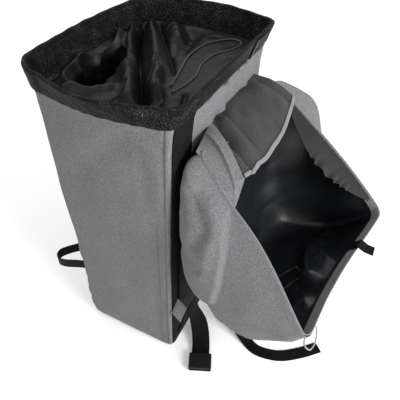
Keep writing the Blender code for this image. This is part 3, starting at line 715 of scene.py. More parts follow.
@dataclass(frozen=True)
class Webbing:
    """Flat woven strap of a width and thickness, with rounded edges."""

    width: float
    thickness: float = WEBBING

    def section(self) -> Array:
        """Rounded section as (across, up): a flat middle and a half round at each edge."""
        half = self.width / 2
        thick = self.thickness / 2
        flat = np.linspace(-half + thick, half - thick, 9)
        turn = np.linspace(-90.0, 90.0, 5)[1:-1]
        right = np.stack([half - thick + thick * np.cos(np.radians(turn)),
                          thick * np.sin(np.radians(turn))], axis=1)
        lower = np.stack([flat, np.full(9, -thick)], axis=1)
        upper = np.stack([flat[::-1], np.full(9, thick)], axis=1)
        return np.concatenate([lower, right, upper, -right])

    def carry(self, name: str, stops: Array, across: Array, material: bpy.types.Material,
              spacing: float = 0.003, cup: float = 0.0) -> bpy.types.Object:
        """Carry the section along a smooth route.

        Args:
            name: piece name.
            stops: places of its middle line.
            across: its width direction at each stop.
            material: finish.
            spacing: distance between two sections.
            cup: height by which its middle is arched.

        Returns:
            The strap.
        """
        stops = np.asarray(stops, float)
        across = np.asarray(across, float)
        place = smooth_route(stops, spacing)
        marks = np.linspace(0.0, 1.0, len(place))
        walked = np.concatenate([[0.0], np.cumsum(np.linalg.norm(np.diff(stops, axis=0), axis=1))])
        side = np.stack([np.interp(marks, walked / walked[-1], column) for column in across.T], 1)
        ahead = unit(np.gradient(place, axis=0))
        side = unit(side - ahead * (side * ahead).sum(-1, keepdims=True))
        up = np.cross(ahead, side)
        shape = self.section()
        arch = cup * (1.0 - (shape[:, 0] / (self.width / 2)) ** 2)
        rings = (place[:, None] + side[:, None] * shape[None, :, :1]
                 + up[:, None] * (shape[:, 1] + arch)[None, :, None])
        piece = Piece(name, rings, wrap_columns=True, cap_first=True, cap_last=True)
        return piece.build(material, sharp=50.0)


# The body


@dataclass(frozen=True)
class BodyForm:
    """Rounded outline of the bag at every height, as the CAD model has it."""

    height: float = 0.600
    width: float = 0.346
    depth: float = 0.224
    corner: float = 0.016
    strip: float = 0.060
    table: tuple[tuple[float, ...], ...] = (
        (0.000, 0.930, 0.445, 0.415, 0.8, 0.8, 1.0, 1.0, 0.000, 0.000),
        (0.006, 0.962, 0.468, 0.440, 0.9, 0.9, 1.1, 1.1, 0.000, 0.000),
        (0.020, 0.985, 0.482, 0.455, 1.0, 1.0, 1.2, 1.2, 0.000, 0.004),
        (0.120, 0.995, 0.487, 0.472, 1.0, 1.0, 1.3, 1.3, 0.006, 0.010),
        (0.300, 1.000, 0.492, 0.478, 1.0, 1.0, 1.5, 1.5, 0.010, 0.018),
        (0.500, 1.005, 0.500, 0.490, 1.0, 1.0, 1.6, 1.6, 0.014, 0.022),
        (0.720, 1.010, 0.515, 0.515, 1.1, 1.1, 1.8, 1.9, 0.018, 0.026),
        (0.880, 1.015, 0.528, 0.545, 1.2, 1.2, 2.0, 2.4, 0.024, 0.030),
        (0.930, 1.020, 0.540, 0.566, 1.3, 1.2, 2.2, 2.8, 0.034, 0.032),
        (0.965, 1.038, 0.570, 0.593, 1.7, 1.4, 2.4, 3.2, 0.066, 0.034),
        (1.000, 1.055, 0.600, 0.620, 2.2, 1.5, 2.6, 3.6, 0.100, 0.036),
    )
    stretches: tuple[str, ...] = ("near_left", "strip_left", "middle", "strip_right", "near_right",
                                  "side_right", "far_right", "front", "far_left", "side_left")

    def values(self, heights: Array) -> list[Array]:
        """Width, back, front, four corner radii and two bulges, in metres, at the heights."""
        table = np.array(self.table)
        rows = [np.interp(heights / self.height, table[:, 0], table[:, column])
                for column in range(1, 10)]
        units = (self.width, self.depth, self.depth, self.corner, self.corner, self.corner,
                 self.corner, self.depth, self.depth)
        return [row * size for row, size in zip(rows, units)]

    def ring(self, heights: Array, steps: dict[str, int], out: "float | Array" = 0.0) -> Array:
        """Outline as a grid: one row for each height, columns round the bag.

        Straight stretches run from corner to corner with a half sine of bulge, and corners are
        quarter circles.

        Args:
            heights: heights of the rows.
            steps: number of columns in each stretch.
            out: distance outwards, one or one for each row.

        Returns:
            Grid of places.
        """
        heights = np.asarray(heights, float)
        out = np.broadcast_to(np.asarray(out, float), heights.shape)
        width, back, front, near_left, near_right, far_right, far_left, left, ahead = \
            self.values(heights)
        half = width / 2 + out
        low = -back - out
        high = front + out
        near_left, near_right, far_right, far_left = (
            radius + out for radius in (near_left, near_right, far_right, far_left))
        seam = np.full_like(half, self.width / 2 - self.strip)

        def arc(x: Array, y: Array, radius: Array, begin: float, count: int) -> Array:
            angle = np.radians(begin + 90.0 * np.arange(count) / count)
            return np.stack([x[:, None] + radius[:, None] * np.cos(angle),
                             y[:, None] + radius[:, None] * np.sin(angle)], axis=-1)

        def run(start: tuple[Array, Array], end: tuple[Array, Array], count: int,
                bulge: Array) -> Array:
            begin = np.stack(start, axis=-1)[:, None]
            side = np.stack(end, axis=-1)[:, None] - begin
            share = (np.arange(count) / count)[None, :, None]
            normal = unit(np.stack([side[..., 1], -side[..., 0]], axis=-1))
            return begin + side * share + normal * bulge[:, None, None] * np.sin(np.pi * share)

        none = np.zeros_like(half)
        parts = [arc(-half + near_left, low + near_left, near_left, 180.0, steps["near_left"]),
                 run((-half + near_left, low), (-seam, low), steps["strip_left"], none),
                 run((-seam, low), (seam, low), steps["middle"], none),
                 run((seam, low), (half - near_right, low), steps["strip_right"], none),
                 arc(half - near_right, low + near_right, near_right, 270.0, steps["near_right"]),
                 run((half, low + near_right), (half, high - far_right), steps["side_right"], left),
                 arc(half - far_right, high - far_right, far_right, 0.0, steps["far_right"]),
                 run((half - far_right, high), (-half + far_left, high), steps["front"], ahead),
                 arc(-half + far_left, high - far_left, far_left, 90.0, steps["far_left"]),
                 run((-half, high - far_left), (-half, low + near_left), steps["side_left"], left)]
        flat = np.concatenate(parts, axis=1)
        rise = np.broadcast_to(heights[:, None, None], (*flat.shape[:2], 1))
        return np.concatenate([flat, rise], axis=-1)

    def index(self, steps: dict[str, int], stretch: str) -> int:
        """First column of a stretch."""
        return sum(steps[name] for name in self.stretches[:self.stretches.index(stretch)])


FINE_STEPS = {"near_left": 16, "strip_left": 14, "middle": 60, "strip_right": 14,
              "near_right": 14, "side_right": 54, "far_right": 16, "front": 70, "far_left": 24,
              "side_left": 100}


@dataclass
class BagBody:
    """Cloth body of the bag with its rim tape, side seams and label."""

    looks: Finishes
    form: BodyForm = field(default_factory=BodyForm)
    tape: float = 0.042
    tape_outside: float = 0.030
    slack: float = 0.0006
    ripple: float = 0.0010
    label: tuple[Point, ...] = ((-0.1738, -0.1130, 0.1510), (-0.1520, -0.1150, 0.1728),
                                (-0.1775, -0.1345, 0.1385), (-0.1555, -0.1365, 0.1600))

    def side_folds(self, grid: Array, steps: dict[str, int]) -> Array:
        """Height of the cloth's folds over the plain outline.

        The left side carries slow dents and the creases at its lowest far corner, and the
        harness face under its panels stays flat.

        Args:
            grid: plain outline.
            steps: columns in each stretch; not used.

        Returns:
            One height for each place.
        """
        form = self.form
        y = grid[..., 1]
        z = grid[..., 2]
        x = grid[..., 0]
        soft = 0.0016 * swell(grid, 0.16, 11) + 0.0007 * swell(grid, 0.055, 12)
        creased = 0.0009 * crumple(grid * (1.0, 1.0, 0.55), 0.10, 13)
        left = (
            Fold(((0.100, 0.050), (0.070, 0.012)), 0.006, 0.0030, Edge.SHARP),
            Fold(((0.098, 0.085), (0.048, 0.020)), 0.007, 0.0024),
            Fold(((0.096, 0.125), (0.030, 0.060)), 0.010, -0.0020),
            Fold(((0.100, 0.210), (0.015, 0.175)), 0.020, 0.0022),
            Fold(((-0.074, 0.520), (-0.076, 0.300), (-0.078, 0.080)), 0.012, -0.0014),
            Fold(((-0.050, 0.540), (0.040, 0.450)), 0.022, -0.0024),
            Fold(((0.060, 0.540), (0.000, 0.380)), 0.030, 0.0024),
            Fold(((-0.060, 0.420), (0.050, 0.350)), 0.028, 0.0018),
        )
        front = (
            Fold(((-0.12, 0.060), (-0.02, 0.150)), 0.018, 0.0028),
            Fold(((0.13, 0.055), (0.03, 0.130)), 0.018, 0.0026),
            Fold(((-0.14, 0.420), (0.02, 0.470)), 0.026, -0.0026),
            Fold(((0.14, 0.360), (0.00, 0.300)), 0.024, 0.0026),
            Fold(((-0.10, 0.520), (-0.02, 0.400)), 0.016, 0.0022),
        )
        on_left = ease(-0.120, -0.165, x) * ease(-0.104, -0.096, y)
        on_right = ease(0.120, 0.165, x)
        on_front = ease(0.070, 0.100, y)
        height = soft + creased
        height = height + folded(left, y, z) * on_left
        height = height + folded(left[5:], y, z) * on_right * 0.8
        height = height + folded(front, x, z) * on_front
        harness = ease(-0.104, -0.097, y)
        foot = ease(0.000, 0.030, z)
        rim = ease(form.height - 0.034, form.height - 0.075, z)
        loops = 1.0 - (ease(0.10, 0.125, y) * np.exp(-((z - 0.140) / 0.028) ** 2)
                       * np.exp(-((np.abs(x) - 0.118) / 0.045) ** 2))
        return height * harness * foot * rim * loops

    def build_shell(self) -> bpy.types.Object:
        """Outer cloth with its floor, lined inside with the coated back of the cloth."""
        heights = np.concatenate([np.linspace(0.0, 0.024, 9), np.linspace(0.028, 0.596, 96),
                                  [self.form.height]])
        walls = self.form.ring(heights, FINE_STEPS)
        walls = walls - (grid_normals(walls, True) * self.side_folds(walls, FINE_STEPS)[..., None]
                         * self.sense(walls))
        centre = np.array((0.0, -0.004, 0.0))
        shares = np.array((0.004, 0.25, 0.5, 0.75, 0.92))[:, None, None]
        floor = centre + (walls[:1] - centre) * shares
        grid = np.concatenate([floor, walls])
        piece = Piece("body_cloth", grid, wrap_columns=True, cap_first=True,
                      middle=(0.0, 0.0, 0.3))
        return fit(piece.build(self.looks.grey, CLOTH * 0.95, self.looks.coated), "grey_cloth",
                   "main_shell")

    def sense(self, grid: Array) -> float:
        """1 where the grid's own normals look inwards, or -1."""
        away = grid - grid.mean(axis=1, keepdims=True)
        return 1.0 if (grid_normals(grid, True) * away).sum() < 0.0 else -1.0

    def build_rim_tape(self) -> bpy.types.Object:
        """Wide tape folded over the rim, wavy outside where the photo shows it pulled."""
        form = self.form
        seat = GAP + self.slack / 2 + WEBBING
        inside = -CLOTH - GAP - self.slack - WEBBING
        low = form.height - self.tape
        top = form.height + GAP
        rising = np.linspace(form.height - self.tape_outside, form.height - 0.001, 16)
        falling = np.linspace(form.height - 0.001, low, 16)
        turn = np.radians(np.linspace(0.0, 180.0, 9))[1:-1]
        middle = (seat + inside) / 2
        reach = (seat - inside) / 2
        outs = np.concatenate([np.full(16, seat), middle + reach * np.cos(turn),
                               np.full(16, inside)])
        levels = np.concatenate([rising, np.full(7, form.height), falling])
        lifts = np.concatenate([np.zeros(16), (top - form.height + WEBBING) * np.sin(turn),
                                np.zeros(16)])
        steps = {name: max(24, round(count * 1.5)) for name, count in FINE_STEPS.items()}
        grid = form.ring(levels, steps, outs)
        grid[..., 2] += lifts[:, None]
        drop = (form.height - grid[..., 2]) / self.tape_outside
        around = np.concatenate([[0.0], np.cumsum(np.linalg.norm(
            np.diff(grid[0], axis=0), axis=-1))])[None, :]
        slanted = np.sin(2.0 * np.pi * (around - 0.022 * drop) / 0.0235 + 1.3 * swell(
            grid, 0.09, 21))
        near = ease(-0.02, -0.12, grid[..., 0]) * ease(0.10, -0.02, grid[..., 1])
        wave = self.ripple * (0.5 + 0.5 * slanted) * ease(0.02, 0.35, drop) * (0.25 + 0.75 * near)
        outer = np.arange(len(levels)) < 17
        wave = np.where(outer[:, None], wave, 0.0004 * (1.0 + swell(grid, 0.03, 22)))
        normals = grid_normals(grid, True) * -self.sense(grid[:16])
        grid = grid + normals * wave[..., None]
        item = Piece("rim_tape", grid, wrap_columns=True, facing=(0.0, 0.0, 1.0)).build(
            self.looks.tape, WEBBING)
        return fit(item, "webbing", "rim_binding")

    def build_rim_stitches(self) -> bpy.types.Object:
        """Two rows of stitches low on the tape and one near the crest, inside and outside."""
        steps = FINE_STEPS
        seat = GAP + self.slack / 2 + WEBBING + 0.0005
        inside = -CLOTH - GAP - self.slack - WEBBING - 0.0003
        rows = []
        for level, out, way in ((0.5735, seat, 1.0), (0.5775, seat, 1.0), (0.5640, inside, -1.0),
                                (0.5940, inside, -1.0)):
            ring = self.form.ring(np.array([level, level + 0.002]), steps, out)
            normals = grid_normals(ring, True) * -self.sense(ring) * way
            rows.append((ring[0], normals[0]))
        return StitchRow().sew("rim_stitches", rows, "webbing", self.looks.thread)

    def build_overlap(self) -> bpy.types.Object:
        """End of the rim tape lapped over its start near the right corner, and sewn down."""
        steps = {name: count for name, count in FINE_STEPS.items()}
        first = self.form.index(steps, "middle") + 49
        last = self.form.index(steps, "near_right") - 6
        heights = np.linspace(self.form.height - self.tape_outside - 0.001, self.form.height - 0.001, 14)
        grid = self.form.ring(heights, steps, GAP + self.slack / 2 + WEBBING * 2 + 0.0006)
        line = grid[:, first + 2] + (0.0, -0.0005, 0.0)
        StitchRow().sew("overlap_stitches", [(line, np.broadcast_to((0.0, -1.0, 0.0), line.shape))],
                        "webbing", self.looks.pale_thread)
        piece = Piece("rim_tape_overlap", grid[:, first:last], facing=(0.0, -1.0, 0.0))
        return fit(piece.build(self.looks.tape, WEBBING), "webbing")

    def build_corner_seams(self) -> list[bpy.types.Object]:
        """Felled seam up each harness corner: a flat roll of cloth with a row of stitches."""
        heights = np.linspace(0.014, self.form.height - self.tape_outside - 0.001, 130)
        made = []
        for name, stretch, first, last in (("left", "near_left", 5, 12),
                                           ("right", "near_right", 3, 10)):
            start = self.form.index(FINE_STEPS, stretch)
            grid = self.form.ring(heights, FINE_STEPS, GAP)[:, start + first:start + last]
            share = np.linspace(0.0, 1.0, grid.shape[1])[None, :]
            roll = 0.0034 * np.sin(np.pi * share) ** 0.5
            roll = roll * (1.0 + 0.22 * swell(grid, 0.035, 31))
            away = unit(grid * (1.0, 1.0, 0.0) - np.array((0.0, 0.0, 0.0)))
            piece = Piece(f"corner_seam_{name}", grid + away * roll[..., None],
                          middle=(0.0, 0.0, 0.3))
            made.append(fit(piece.build(self.looks.grey, 0.0009), "grey_cloth"))
        return made

    def build_seam_stitches(self) -> bpy.types.Object:
        """Row of stitches beside each felled seam."""
        heights = np.linspace(0.02, self.form.height - self.tape - 0.003, 60)
        rows = []
        for stretch, offset in (("near_left", -3), ("near_right", 16)):
            column = self.form.index(FINE_STEPS, stretch) + offset
            ring = self.form.ring(heights, FINE_STEPS, 0.0001)
            normals = grid_normals(ring, True) * -self.sense(ring)
            column = column % ring.shape[1]
            rows.append((ring[:, column], normals[:, column]))
        return StitchRow().sew("side_seam_stitches", rows, "grey_cloth", self.looks.thread)

    def build_label(self) -> bpy.types.Object:
        """Small bare label that stands out of the left corner seam and droops."""
        left, top, low, right = (np.array(corner) for corner in self.label)
        across = np.linspace(0.0, 1.0, 25)[:, None, None]
        out = np.linspace(0.0, 1.0, 25)[None, :, None]
        seam = (left, top)
        reach = ((low - left) + (right - top)) / 2
        grid = (left + (top - left) * across) * (1.0 - out) + (low + (right - low) * across) * out
        grid = grid + np.array((-0.0006, -0.0004, 0.0010)) * np.sin(np.pi * out) * (1.0 - across)
        piece = Piece("side_label_cloth", grid, facing=(-0.6, -0.3, 0.7))
        label = fit(piece.build(self.looks.label, 0.0010), "label_cloth", "side_label")
        border = np.array(((0.10, 0.12), (0.90, 0.12), (0.90, 0.90), (0.10, 0.90), (0.10, 0.12)))
        route = seam[0] + (seam[1] - seam[0]) * border[:, :1] + reach * border[:, 1:]
        facing = unit(np.cross(seam[1] - seam[0], reach))
        facing = facing if facing[2] > 0.0 else -facing
        line = np.concatenate([np.linspace(a, b, 8) for a, b in zip(route[:-1], route[1:])])
        line = line + facing * 0.0006
        StitchRow(0.0026, 0.0019, 0.0005, 0.0003).sew(
            "label_stitches", [(line, np.broadcast_to(facing, line.shape))], "label_cloth",
            self.looks.thread)
        return label

    def build(self) -> None:
        """Build and dress the body."""
        self.build_shell()
        self.build_rim_tape()
        self.build_rim_stitches()
        self.build_overlap()
        self.build_corner_seams()
        self.build_seam_stitches()
        self.build_label()


@dataclass
class Collar:
    """Crumpled nylon collar inside the rim, its throat, and the drawcord lying on it."""

    looks: Finishes
    form: BodyForm
    drop: float = 0.040
    shelf: float = 0.556
    deep: float = 0.070
    throat: tuple[float, float] = (-0.050, 0.090)
    lip: tuple[tuple[float, float], ...] = (
        (-0.104, 0.056), (-0.062, 0.062), (-0.026, 0.068), (0.046, 0.108), (-0.010, 0.112),
        (-0.060, 0.110), (-0.108, 0.088))
    cord: float = 0.0030
    route: tuple[Point, ...] = (
        (-0.052, -0.050, 0.0), (-0.030, -0.046, 0.0), (0.009, -0.036, 0.0), (0.060, -0.024, 0.0),
        (0.112, -0.026, 0.0), (0.142, -0.044, 0.001), (0.158, -0.066, 0.002),
        (0.150, -0.084, 0.001), (0.120, -0.078, 0.0), (0.083, -0.060, 0.0), (0.040, -0.058, 0.0),
        (0.000, -0.068, 0.0), (-0.034, -0.068, 0.0), (-0.068, -0.062, 0.0))
    folds: tuple[Fold, ...] = (
        Fold(((0.060, 0.118), (-0.010, 0.062), (-0.060, 0.020), (-0.120, -0.020)), 0.013, 0.015),
        Fold(((0.135, 0.112), (0.060, 0.078), (0.003, 0.040), (-0.060, -0.002), (-0.110, -0.040)),
             0.0085, -0.022, Edge.SHARP),
        Fold(((0.140, 0.105), (0.085, 0.062), (0.020, 0.018), (-0.050, -0.022), (-0.095, -0.052)),
             0.011, 0.013),
        Fold(((0.165, 0.098), (0.100, 0.045), (0.040, 0.000), (-0.010, -0.034)), 0.007, -0.011,
             Edge.SHARP),
        Fold(((0.100, 0.116), (0.062, 0.098), (0.030, 0.078)), 0.007, 0.010),
        Fold(((-0.040, 0.122), (-0.100, 0.105), (-0.135, 0.070)), 0.014, 0.009),
        Fold(((-0.150, 0.070), (-0.125, 0.045), (-0.095, 0.030)), 0.010, 0.008),
        Fold(((-0.150, 0.020), (-0.120, 0.006), (-0.090, 0.006)), 0.009, -0.009, Edge.SHARP),
        Fold(((0.010, 0.010), (-0.020, -0.010), (-0.048, -0.010)), 0.006, -0.008, Edge.SHARP),
        Fold(((-0.020, -0.008), (-0.045, -0.028), (-0.085, -0.036)), 0.007, 0.008),
        Fold(((-0.085, -0.050), (-0.110, -0.070), (-0.130, -0.072)), 0.007, 0.009, Edge.SHARP),
        Fold(((-0.060, -0.080), (-0.090, -0.090), (-0.130, -0.092)), 0.008, -0.008, Edge.SHARP),
        Fold(((0.165, 0.020), (0.120, 0.010), (0.080, 0.006)), 0.018, -0.010),
        Fold(((0.160, 0.060), (0.120, 0.030)), 0.014, 0.009),
    )

    def surface(self, x: Array, y: Array, share: Array) -> Array:
        """Height of the cloth: a shelf below the tape, its folds, and calm under the cord.

        Args:
            x: places across the bag.
            y: places through the bag.
            share: 0 at the tape to 1 at the throat's lip.

        Returns:
            Heights.
        """
        place = np.stack([x, y], axis=-1)
        start = self.form.height - self.drop
        level = np.interp(share, (0.0, 0.10, 0.80, 1.0),
                          (start, self.shelf + 0.002, self.shelf - 0.002, self.shelf - 0.010))
        height = folded(self.folds, x, y)
        height = 1.45 * height + 0.0026 * crumple(place, 0.034, 41) + 0.0012 * crumple(place, 0.015, 47)
        reach = Fold(tuple((a, b) for a, b, _ in self.route), 0.011, 1.0)
        calm = 1.0 - reach.height(x, y)
        edge = ease(0.0, 0.16, share) * (1.0 - 0.55 * ease(0.7, 1.0, share))
        return level + height * calm * edge

    def build_cloth(self) -> bpy.types.Object:
        """Sheet from the tape to the throat, then down into the bag as a dark tunnel."""
        edge = -CLOTH - 2 * GAP - 0.0006 - WEBBING
        outer = self.form.ring(np.array([self.form.height - self.drop]), FINE_STEPS, edge)[0]
        angle = np.arctan2(outer[:, 1] - self.throat[1], outer[:, 0] - self.throat[0])
        corners = np.array(self.lip) - np.array(self.throat)
        turns = np.arctan2(corners[:, 1], corners[:, 0])
        order = np.argsort(turns)
        reach = np.interp(angle, turns[order], np.linalg.norm(corners, axis=1)[order],
                          period=2.0 * math.pi)
        lip = np.stack([self.throat[0] + reach * np.cos(angle),
                        self.throat[1] + reach * np.sin(angle)], axis=-1)
        share = (np.linspace(0.0, 1.0, 100) ** 0.9)[:, None]
        flat = outer[None, :, :2] + (lip - outer[:, :2])[None] * share[..., None]
        rise = self.surface(flat[..., 0], flat[..., 1], np.broadcast_to(share, flat.shape[:2]))
        cloth = np.concatenate([flat, rise[..., None]], axis=-1)
        down = np.linspace(0.0, 1.0, 14)[1:, None]
        middle = np.array(self.throat)
        shrink = 1.0 + 0.05 * np.sin(np.pi * down) - 0.30 * down
        tunnel = middle + (lip - middle)[None] * shrink[..., None]
        depth = cloth[-1, :, 2][None] - self.deep * down
        wrinkle = 0.003 * swell(np.concatenate([tunnel, depth[..., None]], -1), 0.03, 43)
        tunnel = tunnel + unit(lip - middle)[None] * wrinkle[..., None]
        grid = np.concatenate([cloth, np.concatenate([tunnel, depth[..., None]], axis=-1)])
        piece = Piece("collar_cloth", grid, wrap_columns=True, facing=(0.0, 0.0, 1.0))
        item = piece.build(self.looks.liner, 0.0008)
        return fit(item, "nylon_liner", "collar")

    def build_cord(self) -> bpy.types.Object:
        """Thin drawcord lying loose on the collar, both ends going back into it."""
        lift = self.shelf + GAP + self.cord / 2
        stops = np.array(self.route) + (0.0, 0.0, lift)
        line = smooth_route(stops, 0.004)
        ahead = unit(np.gradient(line, axis=0))
        side = unit(np.cross(ahead, (0.0, 0.0, 1.0)))
        up = np.cross(side, ahead)
        angle = np.radians(np.arange(12) * 30.0)[None, :, None]
        tube = line[:, None] + self.cord / 2 * (side[:, None] * np.cos(angle)
                                                + up[:, None] * np.sin(angle))
        item = Piece("drawcord_line", tube, wrap_columns=True, cap_first=True,
                     cap_last=True).build(self.looks.cord)
        return fit(item, "black_cord", "drawcord")

    def build(self) -> None:
        """Build and dress the collar."""
        self.build_cord()
        self.build_cloth()


@dataclass
class HarnessFace:
    """Black strips, back panel and grey yoke, with the shoulder straps and hip belt on them."""

    looks: Finishes
    form: BodyForm
    foot: float = 0.012
    yoke: float = 0.496
    pad_width: float = 0.062
    pad_thick: float = 0.010
    pad_spread: float = 0.080

    def panel(self, name: str, first: int, last: int, low: float, high: float,
              material: bpy.types.Material, folds: tuple[Fold, ...] = (),
              puff: float = 0.0006, seed: int = 51) -> bpy.types.Object:
        """Panel laid on the harness face between two columns and two heights.

        Args:
            name: piece name.
            first: first column of the outline.
            last: last column.
            low: lowest height.
            high: highest height.
            material: finish.
            folds: folds in x and z.
            puff: how far its middle stands out.
            seed: pattern of its unevenness.

        Returns:
            The panel, with turned-in edges.
        """
        rows = max(8, int((high - low) / 0.004))
        grid = self.form.ring(np.linspace(low, high, rows), FINE_STEPS, GAP + PANEL)
        grid = grid[:, first:last + 1]
        across = np.linspace(0.0, 1.0, grid.shape[1])[None, :]
        down = np.linspace(0.0, 1.0, rows)[:, None]
        inner = (ease(0.0, 0.12, across) * ease(1.0, 0.88, across)
                 * ease(0.0, 0.03, down) * ease(1.0, 0.97, down))
        height = (puff * (1.0 + swell(grid, 0.05, seed)) + folded(folds, grid[..., 0], grid[..., 2]))
        grid = grid + np.array((0.0, -1.0, 0.0)) * (np.maximum(height, 0.0) * inner)[..., None]
        return Piece(name, grid, facing=(0.0, -1.0, 0.0)).build(material, PANEL)

    def build_panels(self) -> None:
        """The four panels of the harness face."""
        form = self.form
        top = form.height - 0.030 - 0.0006
        left = form.index(FINE_STEPS, "strip_left")
        middle = form.index(FINE_STEPS, "middle")
        right = form.index(FINE_STEPS, "strip_right")
        end = form.index(FINE_STEPS, "near_right")
        fit(self.panel("strip_cloth_left", left - 5, middle, self.foot, top, self.looks.pack,
                       seed=52), "black_cloth", "harness_strip_left")
        fit(self.panel("strip_cloth_right", right, end + 1, self.foot, self.yoke - 0.0006,
                       self.looks.pack, seed=53), "black_cloth", "harness_strip_right")
        fit(self.panel("back_mesh", middle, right, self.foot, self.yoke - 0.0006,
                       self.looks.mesh, puff=0.0004, seed=54), "black_cloth",
            "harness_back_panel")
        folds = (
            Fold(((-0.02, 0.566), (-0.03, 0.540), (-0.01, 0.515)), 0.009, 0.0062),
            Fold(((0.030, 0.566), (0.022, 0.530)), 0.006, 0.0070, Edge.SHARP),
            Fold(((0.060, 0.566), (0.075, 0.530), (0.085, 0.510)), 0.010, 0.0060),
            Fold(((-0.080, 0.560), (-0.060, 0.520)), 0.012, 0.0056),
            Fold(((0.125, 0.562), (0.140, 0.530)), 0.010, 0.0050),
        )
        fit(self.panel("yoke_cloth", middle, end + 3, self.yoke, top, self.looks.grey, folds,
                       puff=0.0010, seed=55), "grey_cloth", "harness_yoke")

    def harness_y(self, height: float) -> float:
        """Y of the harness face at a height."""
        return -float(self.form.values(np.array([height]))[1][0])

    def build_pad(self, name: str, side: float) -> None:
        """Padded strap: a crowned form whose sides pull in, with a bound edge.

        The section is a flattened bell, thickness times one less the fourth power of the
        across share, over a flat seat.

        Args:
            name: left or right.
            side: -1 or 1.
        """
        rows = np.array(((0.835, 1.00, 0.80), (0.780, 1.06, 0.95), (0.700, 1.18, 1.00),
                         (0.560, 1.36, 1.00), (0.420, 1.44, 1.00), (0.290, 1.44, 1.00),
                         (0.200, 1.36, 0.92), (0.150, 1.30, 0.72)))
        marks = np.linspace(0.0, 1.0, 120)
        knots = np.linspace(0.0, 1.0, len(rows))
        height, spread, width = (np.interp(marks, knots, column) for column in rows.T)
        kernel = np.hanning(15)
        kernel = kernel / kernel.sum()
        spread, width = (np.convolve(np.pad(column, 7, mode="edge"), kernel, mode="valid")
                         for column in (spread, width))
        height = height * self.form.height
        seat = -np.interp(height, *self.seat_table()) - 2 * GAP - PANEL - 0.0012
        across = np.linspace(-0.5, 0.5, 33)
        crown = self.pad_thick * 0.86 * (0.30 + 0.70 * (1.0 - np.abs(2 * across) ** 4))
        ends = ease(0.0, 0.035, marks) * ease(1.0, 0.965, marks)
        sink = 1.0 - 0.22 * np.exp(-((across - 0.0) / 0.05) ** 2)
        top = crown[None, :] * (0.45 + 0.55 * ends[:, None]) * sink[None, :]
        x = side * self.pad_spread * spread[:, None] + across[None, :] * self.pad_width * width[:, None]
        upper = np.stack([x, seat[:, None] - top, np.broadcast_to(height[:, None], x.shape)], -1)
        uneven = 0.0005 * swell(upper, 0.03, 61)
        upper[..., 1] -= uneven
        lower = np.stack([x, np.broadcast_to(seat[:, None], x.shape),
                          np.broadcast_to(height[:, None], x.shape)], -1)[:, ::-1]
        ring = np.concatenate([upper, lower], axis=1)
        item = Piece(f"shoulder_pad_{name}", ring, wrap_columns=True, cap_first=True,
                     cap_last=True).build(self.looks.mesh, sharp=60.0)
        fit(item, "strap_mesh", f"shoulder_strap_{name}")
        edge = np.concatenate([upper[:, 0], upper[::-1, -1], upper[:1, 0]])
        edge = edge + (0.0, -0.0002, 0.0)
        line = smooth_route(edge[::4], 0.004)
        ahead = unit(np.gradient(line, axis=0))
        beside = unit(np.cross(ahead, (0.0, 1.0, 0.0)))
        angle = np.radians(np.arange(10) * 36.0)[None, :, None]
        tube = line[:, None] + (beside[:, None] * np.cos(angle) * 0.0026
                                + np.array((0.0, 1.0, 0.0)) * np.sin(angle) * 0.0016)
        fit(Piece(f"pad_binding_{name}", tube, wrap_columns=True, cap_first=True,
                  cap_last=True).build(self.looks.webbing), "strap_mesh")

    def seat_table(self) -> tuple[Array, Array]:
        """Heights and the depth of the harness face there."""
        heights = np.linspace(0.0, self.form.height, 61)
        return heights, self.form.values(heights)[1]

    def build_lower_strap(self, name: str, side: float) -> None:
        """Webbing from the end of a shoulder pad down to the lower corner."""
        seat = GAP + PANEL + WEBBING
        top = 0.150 * self.form.height - 2 * GAP
        start_x = side * self.pad_spread * 1.30
        stops = [(start_x, self.harness_y(top) - seat, top),
                 (start_x, self.harness_y(top) - seat, top - 0.010),
                 (start_x, self.harness_y(top) - seat, top - 0.020),
                 (side * 0.117, self.harness_y(0.054) - seat - 0.001, 0.050),
                 (side * 0.136, self.harness_y(0.030) - seat, 0.026)]
        item = Webbing(0.025).carry(f"lower_webbing_{name}", stops, [(1.0, 0.0, 0.0)] * 5,
                                    self.looks.webbing)
        fit(item, "webbing", f"lower_strap_{name}")

    def build(self) -> None:
        """Build and dress the harness face."""
        self.build_panels()
        for name, side in (("left", -1.0), ("right", 1.0)):
            self.build_pad(name, side)
            self.build_lower_strap(name, side)


